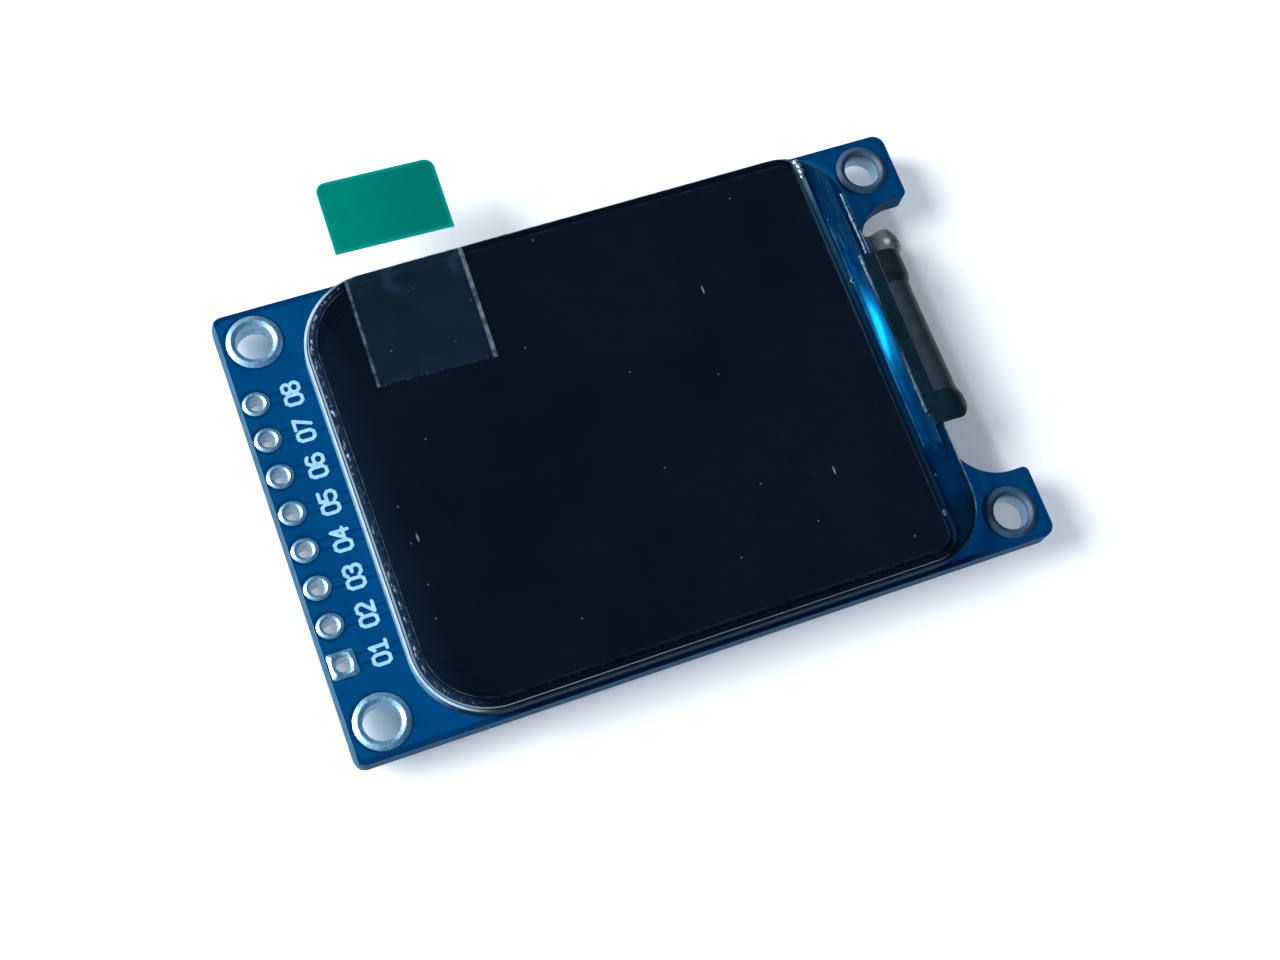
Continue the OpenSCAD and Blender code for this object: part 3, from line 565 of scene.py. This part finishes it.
# Painted light at the header end: a paler margin as a painted sheen, a painted line of glint dots
# in it and a painted bright rim.
margin = use(tree, inside_edge, Point=point, Corner=4.7, **plan("tft_glass"))
header_end = ramp(tree, px, -17.6, -15.0, 1.0, 0.0)
glint_band = times(tree, ramp(tree, margin, 0.14, 0.20), ramp(tree, margin, 0.30, 0.36, 1.0, 0.0))
drawn_out = vector_of(tree, "MULTIPLY", point, (1.0, 0.4, 1.0))
painted_glints = times(tree, ramp(tree, use(tree, mottle, Point=drawn_out, Scale=5.0), 0.55, 0.90), glint_band,
               header_end, ramp(tree, use(tree, mottle, Point=point, Scale=0.5), 0.3, 0.8, 0.2, 1.0),
               ramp(tree, py, 0.0, 7.0, 0.6, 1.0))
painted_margin_sheen = times(tree, header_end, ramp(tree, margin, 0.45, 0.75, 1.0, 0.0))
face = blend(tree, painted_margin_sheen, face, (0.008, 0.028, 0.058))
face = blend(tree, painted_glints, face, (0.62, 0.72, 0.82))
painted_rim_light = times(tree, ramp(tree, margin, 0.05, 0.12, 0.8, 0.0), ramp(tree, py, -13.0, -7.0, 0.15, 1.0))
face = blend(tree, times(tree, header_end, painted_rim_light), face, (0.40, 0.52, 0.62))
link(tree, blend(tree, wall, face, ground), shader, "Base Color")
polish = ramp(tree, chips, 0.0, 1.0, 0.04, 0.08)
link(tree, math_of(tree, "ADD", times(tree, wall, 0.45), polish), shader, "Roughness")
cement = mottled("grey_cement", 3.0, (0.10, 0.11, 0.12), (0.2, 0.2, 0.21), Roughness=0.6)
dress("tft_glass", cell_glass)
dress("colour_filter_glass", cell_glass)
dress("cell_seal", cement)

# The polarisers: dark stretched film laminated to both faces of the cell. Their knife-cut
# edges carry painted highlights in short dashes. They are paler at the header end, as a painted
# sheen, and paler by the ledge.
polariser, tree, shader = finish("dark_polariser", IOR=1.48, Specular_IOR_Level=0.05)
point = in_mm(tree)
px, py = split(tree, point)[:2]
# Painted sheen: the film is paler towards the header end.
film = blend(tree, ramp(tree, px, -18.3, -16.0), (0.0030, 0.0105, 0.0225), (0.0022, 0.0055, 0.0118))
by_ledge = times(tree, ramp(tree, px, 16.1, 16.4), ramp(tree, py, -6.0, 11.0, 0.2, 1.0))
film = blend(tree, by_ledge, film, (0.014, 0.050, 0.080))
dashes = ramp(tree, use(tree, mottle, Point=point, Scale=3.2), 0.55, 0.9)
# Painted highlights: the cut edges show pale in short dashes.
painted_edge_dashes = times(tree, use(tree, walls), dashes)
link(tree, blend(tree, painted_edge_dashes, film, (0.20, 0.28, 0.36)), shader, "Base Color")
link(tree, ramp(tree, use(tree, mottle, Point=point, Scale=0.15), 0.0, 1.0, 0.11, 0.14), shader, "Roughness")
dress("front_polariser", polariser)
dress("rear_polariser", polariser)

# The protective film: clear soft film with a weak glue, a little smaller than the polariser.
# It has gathered specks and threads of dust and a few hairline scratches, and its cut edges
# carry painted highlights, strongest at the header end.

# Round specks, in a share of the cells of a loose grid.
dust, given, result = new_group("dust", {"Point": (0.0, 0.0, 0.0), "Scale": 0.5, "Share": 0.2, "Size": 0.06},
                                "Speck")
cells = add(dust, "TexVoronoi", {"Vector": given["Point"], "Scale": given["Scale"]}, voronoi_dimensions="2D")
chosen = math_of(dust, "LESS_THAN", split(dust, cells.outputs["Color"])[0], given["Share"])
from_speck = math_of(dust, "DIVIDE", cells.outputs["Distance"], given["Size"])
dust.links.new(times(dust, chosen, ramp(dust, from_speck, 0.4, 1.0, 1.0, 0.0)), result)

# Long thin lines that run one way, in a few patches.
scratches, given, result = new_group("scratches", {"Point": (0.0, 0.0, 0.0), "Turn": 0.4, "Scale": 0.5},
                                     "Line")
turned = add(scratches, "VectorRotate", {"Vector": given["Point"], "Angle": given["Turn"]},
             rotation_type="Z_AXIS").outputs[0]
field = grain(scratches, vector_of(scratches, "MULTIPLY", turned, (0.06, 1.0, 1.0)), given["Scale"])
line = ramp(scratches, from_line(scratches, field, 0.5), 0.0, 0.006, 1.0, 0.0)
patch = ramp(scratches, grain(scratches, given["Point"], 0.12), 0.52, 0.62)
scratches.links.new(times(scratches, line, patch), result)

clear_film, tree, shader = finish("clear_film", Roughness=0.12, IOR=1.46, Specular_IOR_Level=0.1)
point = in_mm(tree)
px = split(tree, point)[0]
corner = ramp(tree, px, -4.0, 4.0, 4.23, 1.25)
depth = use(tree, inside_edge, Point=point, Corner=corner, **plan("protective_film"))
# Painted highlight: the film's rim and walls show pale, most at the header end.
rim = most(tree, ramp(tree, depth, 0.02, 0.10, 1.0, 0.0), use(tree, walls))
dust_and_edge_sheen = use(tree, mottle, Point=point, Scale=1.3)
edge = times(tree, rim, ramp(tree, dust_and_edge_sheen, 0.0, 1.0, 0.25, 1.0), ramp(tree, px, -17.4, -14.5, 0.11, 0.02))
specks = times(tree, use(tree, dust, Point=point, Scale=0.36, Share=0.16, Size=0.03), 0.16)
lengthened = vector_of(tree, "MULTIPLY", point, (1.0, 0.22, 1.0))
threads = times(tree, use(tree, dust, Point=lengthened, Scale=0.30, Share=0.22, Size=0.024), 0.3)
hairlines = times(tree, use(tree, scratches, Point=point, Turn=0.9, Scale=0.45), 0.006)
haze = ramp(tree, use(tree, mottle, Point=point, Scale=0.12), 0.0, 1.0, 0.0, 0.002)
link(tree, most(tree, haze, edge, specks, threads, hairlines), shader, "Alpha")
link(tree, blend(tree, dust_and_edge_sheen, (0.45, 0.60, 0.75), (0.70, 0.80, 0.90)), shader, "Base Color")
dress("protective_film", clear_film)

# The pull tab: a clear strip stuck on the protective film, with a green grip at its free end
# to peel the film off by. The strip's cut sides carry painted pale highlights, and its stuck
# end is torn.
slant = math.radians(1.76)
strip_middle = (-11.05, 15.0, 0.0)


def along_strip(tree):
    """The point in the strip's own frame: X across it, Y along it from the panel's long edge."""
    moved = vector_of(tree, "SUBTRACT", in_mm(tree), strip_middle)
    return add(tree, "VectorRotate", {"Vector": moved, "Angle": slant}, rotation_type="Z_AXIS").outputs[0]


clear_strip, tree, shader = finish("clear_strip", Roughness=0.14, IOR=1.46, Specular_IOR_Level=0.1)
point = along_strip(tree)
across, along = split(tree, point)[:2]
ragged = use(tree, mottle, Point=point, Scale=1.6)
fine = use(tree, mottle, Point=point, Scale=5.0)
# Painted highlights: the strip's cut sides show pale.
right_edge_highlight = times(tree, ramp(tree, across, 3.65, 3.76), ramp(tree, ragged, 0.0, 1.0, 0.06, 0.17))
left_edge_highlight = times(tree, ramp(tree, across, -3.84, -3.72, 1.0, 0.0), ramp(tree, ragged, 0.0, 1.0, 0.04, 0.13))
edges = most(tree, right_edge_highlight, left_edge_highlight)
tear = math_of(tree, "ADD", times(tree, fine, 0.30), times(tree, ragged, 0.25))
torn = math_of(tree, "ADD", along, tear)
inside = ramp(tree, torn, -7.90, -7.76)
burrs = times(tree, ramp(tree, torn, -7.72, -7.50, 1.0, 0.0), ramp(tree, fine, 0.2, 0.9, 0.0, 0.045))
smudge = times(tree, ramp(tree, use(tree, mottle, Point=point, Scale=0.55), 0.55, 1.0, 0.0, 0.020),
               ramp(tree, along, -3.0, -1.2))
veil = ramp(tree, use(tree, mottle, Point=point, Scale=0.3), 0.0, 1.0, 0.010, 0.015)
specks = times(tree, use(tree, dust, Point=point, Scale=0.6, Share=0.2, Size=0.05), 0.12)
shown = most(tree, edges, specks, math_of(tree, "ADD", veil, smudge), burrs)
link(tree, times(tree, inside, shown), shader, "Alpha")
link(tree, blend(tree, ramp(tree, edges, 0.02, 0.10), (0.15, 0.45, 0.72), (0.58, 0.68, 0.78)),
     shader, "Base Color")
dress("pull_strip", clear_strip)

green_grip, tree, shader = finish("green_grip", Roughness=0.3, IOR=1.5, Specular_IOR_Level=0.15,
                                  Specular_Tint=(0.2, 0.8, 1.0, 1.0))
point = along_strip(tree)
depth = use(tree, inside_edge, Point=point, Middle=(0.0, 3.925, 0.0), Half=(3.975, 2.575, 0.0), Corner=0.4)
fibres = use(tree, mottle, Point=point, Scale=1.2)
green = blend(tree, fibres, (0.0, 0.205, 0.150), (0.0, 0.225, 0.165))
green = blend(tree, ramp(tree, split(tree, point)[0], -4.0, 4.0), green, (0.0, 0.165, 0.128))
green = blend(tree, ramp(tree, depth, 0.06, 0.30, 0.8, 0.0), green, (0.0, 0.30, 0.30))
link(tree, green, shader, "Base Color")
bump(tree, shader, fibres, 0.004)
dress("pull_grip", green_grip)

# The driver: a bare sliver of silicon on the ledge, and over it blue resin run on by hand. The
# resin climbs over the chip, thins out to the ledge's ends and holds a few bubbles.
silicon = mottled("polished_silicon", 2.0, (0.05, 0.05, 0.08), (0.09, 0.09, 0.13), Roughness=0.2,
                  Metallic=0.6)
dress("driver_chip", silicon)

bond_x = span("ledge_resin")[1][0]
ledge_top = span("tft_glass")[1][2]
glass_top = span("colour_filter_glass")[1][2]
swell_y, swell_long = 1.1, 2.6


def smooth_step(value, low, high):
    share = min(max((value - low) / (high - low), 0.0), 1.0)
    return share * share * (3 - 2 * share)


def ledge_reach(x):
    """How far the ledge runs each way from the middle before the lower glass's round corner."""
    corner_x, corner_y, corner_r = 14.95, 10.8, 3.98
    return corner_y + math.sqrt(corner_r ** 2 - max(x - corner_x, 0.0) ** 2)


def resin_top(x, y):
    """The height of the resin: a climb from the upper glass, a crest over the chip, a fall to the flex."""
    film, chip_cover, lap, lap_long = 0.03, 0.16, 0.06, 0.08
    low_end, high_end = (-7.75, -7.35), (8.6, 11.2)
    climb_from, climb_to, fall_from = 16.93, 17.58, 17.75
    wobble = noise.noise(Vector((x * 1.3, y * 0.55, 2.0))) * 0.018
    ragged_end = 0.35 * noise.noise(Vector((x * 2.2, 5.0, y * 0.2)))
    cover = smooth_step(y - ragged_end, *low_end) * (1 - smooth_step(y, *high_end))
    swell = math.exp(-((y - swell_y) / swell_long) ** 2)
    slanted = x - (0.09 + 0.06 * (y - swell_y)) * swell
    climb = smooth_step(slanted, climb_from, climb_to + 0.07 * swell)
    crest = 0.10 + 0.30 * swell
    fall = smooth_step(x, fall_from + 0.12 * swell, bond_x)
    meniscus = lap * math.exp(-(x - glass_edge_x) / lap_long)
    top = chip_cover + crest * climb - (crest + lap) * fall
    return ledge_top + film + cover * top + meniscus * (0.4 + 0.6 * cover) + wobble * (0.4 + cover)


def shell(name, top, under, material):
    """A closed sheet between two grids of points of the same size."""
    rows, columns = len(top), len(top[0])
    points = [p for row in top for p in row] + [p for row in under for p in row]
    faces = []
    below = rows * columns
    for r in range(rows - 1):
        for c in range(columns - 1):
            a, b = r * columns + c, r * columns + c + 1
            faces.append((a, b, b + columns, a + columns))
            faces.append((below + a, below + a + columns, below + b + columns, below + b))
    ring = list(range(columns)) + [r * columns + columns - 1 for r in range(1, rows)]
    ring += [(rows - 1) * columns + c for c in range(columns - 2, -1, -1)]
    ring += [r * columns for r in range(rows - 2, 0, -1)]
    for a, b in zip(ring, ring[1:] + ring[:1]):
        faces.append((b, a, below + a, below + b))
    return piece(name, points, faces, material)


steps_across, steps_along, end_gap = 44, 300, 0.05
top, under = [], []
for i in range(steps_across + 1):
    x = glass_edge_x + (bond_x - glass_edge_x) * i / steps_across
    reach = ledge_reach(x) - end_gap
    spots = [-reach + 2 * reach * k / steps_along for k in range(steps_along + 1)]
    top.append([(x, y, resin_top(x, y)) for y in spots])
    under.append([(x, y, ledge_top) for y in spots])
resin, tree, shader = finish("blue_resin", IOR=2.1, Specular_Tint=(0.0, 0.50, 1.0, 1.0))
point = in_mm(tree)
px, py = split(tree, point)[:2]
cloudy = use(tree, mottle, Point=point, Scale=0.9)
streaks = use(tree, mottle, Point=vector_of(tree, "MULTIPLY", point, (4.0, 0.5, 1.0)), Scale=1.0)
thin = blend(tree, cloudy, (0.0, 0.016, 0.060), (0.0, 0.026, 0.090))
thick = blend(tree, streaks, (0.0, 0.024, 0.088), (0.002, 0.056, 0.170))
blue = blend(tree, ramp(tree, px, 16.9, 17.5), thin, thick)
from_swell = from_line(tree, py, swell_y)
# Painted highlight: a bright blue halo beside the streak over the chip.
painted_halo = times(tree, ramp(tree, from_swell, 1.0, 3.8, 0.85, 0.0), ramp(tree, px, 17.3, 17.7))
blue = blend(tree, painted_halo, blue, (0.0, 0.24, 0.60))
blue = blend(tree, ramp(tree, from_swell, 4.0, 7.0, 0.0, 0.45), blue, (0.0, 0.008, 0.036))
flank = times(tree, ramp(tree, px, 17.65, 18.15), ramp(tree, cloudy, 0.0, 1.0, 0.4, 0.9))
blue = blend(tree, flank, blue, (0.014, 0.078, 0.16))
hazy = times(tree, ramp(tree, streaks, 0.55, 0.95, 0.0, 0.5), ramp(tree, py, 3.0, 6.0))
blue = blend(tree, hazy, blue, (0.030, 0.10, 0.17))
# Painted highlight: a pale line along the resin's foot by the upper glass.
meniscus_highlight = times(tree, ramp(tree, from_line(tree, px, 17.06), 0.02, 0.08, 1.0, 0.0),
                  ramp(tree, cloudy, 0.0, 1.0, 0.15, 0.6))
blue = blend(tree, meniscus_highlight, blue, (0.045, 0.17, 0.30))
bare_end = blend(tree, ramp(tree, py, -12.6, -10.2), (0.001, 0.004, 0.010), (0.0, 0.013, 0.050))
covered = times(tree, ramp(tree, py, -7.6, -7.1), ramp(tree, py, 7.0, 11.0, 1.0, 0.45))
link(tree, blend(tree, covered, bare_end, blue), shader, "Base Color")
link(tree, ramp(tree, cloudy, 0.0, 1.0, 0.31, 0.38), shader, "Roughness")
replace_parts(shell("ledge_resin_run", top, under, resin), "ledge_resin")


def tube(name, path, radii, material):
    """A round bar of changing thickness along a path of points."""
    points, faces = [], []
    sides = 10
    for i, (spot, radius) in enumerate(zip(path, radii)):
        forward = (Vector(path[min(i + 1, len(path) - 1)]) - Vector(path[max(i - 1, 0)])).normalized()
        side = forward.cross(Vector((0, 0, 1))).normalized()
        up = side.cross(forward)
        for k in range(sides):
            angle = 2 * math.pi * k / sides
            points.append(tuple(Vector(spot) + radius * (math.cos(angle) * side + math.sin(angle) * up)))
    for i in range(len(path) - 1):
        for k in range(sides):
            a, b = i * sides + k, i * sides + (k + 1) % sides
            faces.append((a, b, b + sides, a + sides))
    faces.append(tuple(range(sides - 1, -1, -1)))
    faces.append(tuple(range((len(path) - 1) * sides, len(path) * sides)))
    return piece(name, points, faces, material)


def drift(y, seed, waves, other_seed):
    """Noise along Y, with a number of waves in each millimetre."""
    return noise.noise(Vector((seed, y * waves, other_seed)))


def bead(name, material, x, z, start, long, steps, sway, sway_by, thin, lumps_by):
    """A lumpy bead of resin along Y, which sways across by one noise and swells by another."""
    lump = 0.08
    ys = [start + long * k / steps for k in range(steps + 1)]
    path = [(x + sway * drift(y, *sway_by), y, z) for y in ys]
    return tube(name, path, [thin + lump * abs(drift(y, *lumps_by)) for y in ys], material)


clear_bead, tree, shader = finish("clear_bead", Roughness=0.5, IOR=1.4)
point = in_mm(tree)
milk = use(tree, mottle, Point=point, Scale=2.8)
high_end = ramp(tree, split(tree, point)[1], 2.0, 6.0)
thin = blend(tree, high_end, (0.003, 0.030, 0.060), (0.010, 0.055, 0.090))
lump = blend(tree, high_end, (0.065, 0.125, 0.175), (0.19, 0.28, 0.35))
link(tree, blend(tree, milk, thin, lump), shader, "Base Color")
bead("flex_edge_bead", clear_bead, x=18.24, z=3.03, start=-5.25, long=11.75, steps=160,
     sway=0.03, sway_by=(0, 1.4, 3), thin=0.17, lumps_by=(7, 1.6, 1))
bead("glass_edge_bead", clear_bead, x=18.83, z=2.95, start=6.6, long=4.6, steps=80,
     sway=0.02, sway_by=(4, 1.7, 0), thin=0.07, lumps_by=(2, 3.1, 6))
bead("tray_edge_bead", resin, x=19.02, z=2.86, start=8.6, long=2.6, steps=60,
     sway=0.03, sway_by=(6, 1.3, 2), thin=0.09, lumps_by=(3, 2.3, 8))

bubbles = ((17.08, 4.95, 0.19), (18.33, 6.25, 0.17), (18.16, 5.80, 0.10), (18.22, -5.62, 0.16),
           (18.20, -5.16, 0.10), (17.15, -9.4, 0.12), (17.6, 7.4, 0.07), (17.2, 9.6, 0.08),
           (16.66, 14.27, 0.18), (16.75, 13.90, 0.20), (16.75, 13.50, 0.21), (16.66, 13.10, 0.18),
           (16.52, -12.0, 0.22))
sides, levels = 14, 5
points, faces = [], []
for x, y, radius in bubbles:
    base = len(points)
    # A bubble on the upper glass stands on a skirt, which reaches down past the glass's edge.
    on_glass = x < glass_edge_x
    high = radius * (0.8 if on_glass else 0.45)
    foot = resin_top(min(max(x, glass_edge_x), bond_x), y) - 0.02
    skirt = foot - 0.03
    if on_glass:
        foot = max(foot, glass_top - 0.06)
        skirt = ledge_top + 0.01
    rings = [(radius, skirt)]
    for k in range(levels):
        rise = math.pi / 2 * k / levels
        rings.append((radius * math.cos(rise), foot + high * math.sin(rise)))
    for wide, z in rings:
        for k in range(sides):
            angle = 2 * math.pi * k / sides
            points.append((x + wide * math.cos(angle), y + wide * math.sin(angle), z))
    points.append((x, y, foot + high))
    for level in range(len(rings) - 1):
        for k in range(sides):
            a, b = base + level * sides + k, base + level * sides + (k + 1) % sides
            faces.append((a, b, b + sides, a + sides))
    last = base + sides * (len(rings) - 1)
    faces += [(last + k, last + (k + 1) % sides, last + sides) for k in range(sides)]
    faces.append(tuple(base + k for k in range(sides - 1, -1, -1)))
bubble, tree, shader = finish("resin_bubble", IOR=1.6)
point = in_mm(tree)
py = split(tree, point)[1]
outward = add(tree, "NewGeometry").outputs["Normal"]
upward = split(tree, outward)[2]
skin = blend(tree, use(tree, mottle, Point=point, Scale=8.0), (0.0, 0.03, 0.09), (0.01, 0.06, 0.14))
# Painted light: the bubbles' sides are pale and their tops dark.
skin = blend(tree, ramp(tree, upward, 0.70, 0.90, 1.0, 0.0), skin, (0.30, 0.46, 0.56))
# The bubbles at the ledge's ends are milky, with painted light: paler sides and a painted bright
# crescent on the header side.
to_header = vector_of(tree, "DOT_PRODUCT", outward, (-0.91, -0.41, 0.0), "Value")
milky_lit_skin = blend(tree, ramp(tree, upward, 0.35, 0.75), (0.24, 0.30, 0.36), (0.10, 0.14, 0.18))
milky_lit_skin = blend(tree, ramp(tree, to_header, 0.25, 0.55), milky_lit_skin, (0.78, 0.83, 0.88))
pale_end = most(tree, ramp(tree, py, 12.2, 12.8), ramp(tree, py, -11.7, -11.3, 0.14, 0.0))
link(tree, blend(tree, pale_end, skin, milky_lit_skin), shader, "Base Color")
link(tree, ramp(tree, py, -11.7, -11.3, 0.60, 0.12), shader, "Roughness")
piece("resin_bubbles", points, faces, bubble)

# The panel's flex: copper on yellow film under a dark cover film, bonded to the ledge, folded
# through the notch and soldered on the board's back. It is stiff where the copper ends, so
# the fold stands out further at both ends than in the middle.
(flex_back_x, flex_y0, _), (_, flex_y1, _) = span("display_flex")
flex_thick, fold_x = 0.12, 19.7
fold_r = ledge_top / 2
flat_steps, fold_steps, back_steps, flex_steps = 14, 48, 30, 72
end_bulge, low_bulge = 0.24, 0.10
neck_low, neck_high = 1.0, 0.3

# Places along the flex, on its inner face: the turn in degrees, X and Z.
flex_line = [(90.0, bond_x + (fold_x - bond_x) * k / flat_steps, ledge_top) for k in range(flat_steps)]
for k in range(fold_steps + 1):
    turn = 90.0 - 180.0 * k / fold_steps
    flex_line.append((turn, fold_x + fold_r * math.cos(math.radians(turn)),
                      fold_r + fold_r * math.sin(math.radians(turn))))
flex_line += [(-90.0, fold_x + (flex_back_x - fold_x) * (k + 1) / back_steps, 0.0) for k in range(back_steps)]
outer, inner = [], []
for turn, x, z in flex_line:
    out_x, out_z = math.cos(math.radians(turn)), math.sin(math.radians(turn))
    under = 1.0 - smooth_step(x, 16.5, 19.0) if z < 0.01 else 0.0
    neck = smooth_step(-turn, -62.0, -12.0) * (1.0 - under)
    low, high = flex_y0 + neck_low * neck, flex_y1 - neck_high * neck
    row_out, row_in = [], []
    for k in range(flex_steps + 1):
        y = low + (high - low) * k / flex_steps
        ends = smooth_step(abs(y - 0.05), 3.9, 4.7)
        bulge = (end_bulge * ends + low_bulge * smooth_step(-y, -3.0, 4.0)) * out_x ** 2
        row_out.append((x + out_x * (flex_thick + bulge), y, z + out_z * (flex_thick + bulge)))
        row_in.append((x + out_x * bulge, y, z + out_z * bulge))
    outer.append(row_out)
    inner.append(row_in)
flex_film, tree, shader = finish("dark_cover_film", IOR=1.5, Specular_IOR_Level=0.08)
point = in_mm(tree)
px, py, pz = split(tree, point)
on_top = ramp(tree, pz, -0.3, 0.3)
fog = use(tree, mottle, Point=point, Scale=1.2)
patch_depth = use(tree, inside_edge, Point=point, Middle=(21.9, 0.05, 0.0), Half=(2.62, 4.08, 0.0),
                  Corner=0.25)
grey_patch = times(tree, ramp(tree, patch_depth, -0.02, 0.06), on_top)
dark = blend(tree, fog, (0.003, 0.013, 0.021), (0.005, 0.018, 0.028))
grey = blend(tree, fog, (0.025, 0.038, 0.051), (0.033, 0.046, 0.060))
film = blend(tree, grey_patch, dark, grey)
film = blend(tree, ramp(tree, px, 18.45, 18.68, 0.8, 0.0), film, (0.012, 0.034, 0.052))
browned = times(tree, ramp(tree, px, 19.25, 19.40), ramp(tree, py, 3.9, 4.6))
film = blend(tree, browned, film, blend(tree, fog, (0.008, 0.0115, 0.015), (0.016, 0.020, 0.025)))
# Painted highlight: a pale line where the flex starts to fold.
crease_highlight = times(tree, ramp(tree, from_line(tree, px, 19.36), 0.02, 0.07, 1.0, 0.0),
               ramp(tree, py, 1.5, 6.0, 0.0, 0.7), on_top)
film = blend(tree, crease_highlight, film, (0.060, 0.066, 0.066))
# Painted shade: the lower part of the fold is darker.
film = blend(tree, ramp(tree, pz, 1.9, 2.5, 0.6, 0.0), film, (0.004, 0.010, 0.016))
copper = times(tree, ramp(tree, math_of(tree, "PINGPONG", py, 0.14), 0.05, 0.09), 0.25)
under_side = blend(tree, copper, (0.018, 0.020, 0.020), (0.05, 0.045, 0.03))
link(tree, blend(tree, on_top, under_side, film), shader, "Base Color")
link(tree, ramp(tree, fog, 0.0, 1.0, 0.30, 0.42), shader, "Roughness")
bump(tree, shader, math_of(tree, "ADD", times(tree, fog, 0.4), copper), 0.012)
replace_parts(shell("folded_flex", outer, inner, flex_film), "display_flex")
dress("flex_solder", tin)

# The backlight's own flex: a narrow tail of pale film with the lamps soldered along its inner
# end. It leaves through a slot in the tray and folds round beside the panel's flex, where it
# has crumpled into a round, shiny bend with a painted glint on its knuckle. Its root is paler,
# partly a paler film and partly painted light where the panel shades it.
tail_back_x = span("backlight_flex")[0][0]
tail_start_x, tail_fold_x = 18.4, 21.0
tail_r, tail_thick = 0.935, 0.08
tail_low_y, tail_half_wide = 6.6, 0.88
flat_steps, fold_steps, back_steps, tail_steps = 12, 36, 10, 18
tail_line = [(90.0, tail_start_x + (tail_fold_x - tail_start_x) * k / flat_steps) for k in range(flat_steps)]
tail_line += [(90.0 - 180.0 * k / fold_steps, tail_fold_x) for k in range(fold_steps + 1)]
back_run = tail_back_x - tail_fold_x
tail_line += [(-90.0, tail_fold_x + back_run * (k + 1) / back_steps) for k in range(back_steps)]
outer, inner = [], []
for turn, x in tail_line:
    out_x, out_z = math.cos(math.radians(turn)), math.sin(math.radians(turn))
    bend = math.exp(-((turn - 10) / 45) ** 2)
    root = 0.0
    if turn == 90.0:
        root = 0.6 * (1 - smooth_step(x, 19.2, 19.8)) - 0.22 * (1 - smooth_step(x, 19.8, 20.8))
    past = max(out_x - 0.15, 0.0)
    low = tail_low_y + 0.05 * bend
    high = tail_middle_y + math.sqrt(tail_half_wide ** 2 - 0.75 * past ** 2) + root
    row_out, row_in = [], []
    for k in range(tail_steps + 1):
        share = k / tail_steps
        off = abs(2 * share - 1)
        crown = bend * (0.14 * (1 - off ** 2) - 0.20 * off ** 5)
        for row, lift in ((row_out, tail_thick), (row_in, 0.0)):
            reach = tail_r + lift + crown
            row.append((x + out_x * reach, low + (high - low) * share, tail_r + out_z * reach))
    outer.append(row_out)
    inner.append(row_in)
tail_film, tree, shader = finish("taupe_film", IOR=1.5)
point = in_mm(tree)
px = split(tree, point)[0]
stain = use(tree, mottle, Point=point, Scale=1.1)
taupe = blend(tree, stain, (0.15, 0.145, 0.148), (0.22, 0.21, 0.213))
taupe = blend(tree, ramp(tree, px, 20.6, 21.9), taupe, (0.045, 0.044, 0.045))
# Paler at the root: partly a paler film, partly painted light where the panel shades it.
taupe = blend(tree, ramp(tree, px, 19.6, 20.3, 1.0, 0.0), taupe, (0.36, 0.37, 0.39))
# Painted highlight: a white glint on the knuckle of the bend.
from_painted_glint = vector_of(tree, "DISTANCE", point, (20.95, tail_middle_y, 1.9), "Value")
link(tree, blend(tree, ramp(tree, from_painted_glint, 0.03, 0.36, 0.75, 0.0), taupe, (0.80, 0.82, 0.85)),
     shader, "Base Color")
link(tree, ramp(tree, stain, 0.0, 1.0, 0.14, 0.26), shader, "Roughness")
bump(tree, shader, use(tree, mottle, Point=point, Scale=2.0), 0.03)
tail = shell("folded_tail", outer, inner, tail_film)
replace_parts(tail, "backlight_flex")

# The parts on the back: a regulator and a transistor in black mouldings with tinned legs, and
# chip capacitors and resistors with tinned ends, all held by small hollow solder fillets.
black_moulding, tree, shader = finish("black_moulding", Roughness=0.5)
point = in_mm(tree)
flecks = use(tree, mottle, Point=point, Scale=9.0)
link(tree, blend(tree, flecks, (0.010, 0.010, 0.011), (0.022, 0.022, 0.023)), shader, "Base Color")
bump(tree, shader, use(tree, mottle, Point=point, Scale=16.0), 0.01)
brown_ceramic = mottled("brown_ceramic", 6.0, (0.24, 0.16, 0.09), (0.34, 0.23, 0.14), Roughness=0.4)
black_glaze = mottled("black_glaze", 5.0, (0.012, 0.012, 0.014), (0.026, 0.026, 0.03), Roughness=0.25)
for name, material in (("regulator_body", black_moulding), ("transistor_body", black_moulding),
                       ("capacitor_bodies", brown_ceramic), ("resistor_bodies", black_glaze),
                       ("regulator_legs", tin), ("transistor_legs", tin), ("capacitor_ends", tin),
                       ("resistor_ends", tin), ("part_solder", tin)):
    dress(name, material)
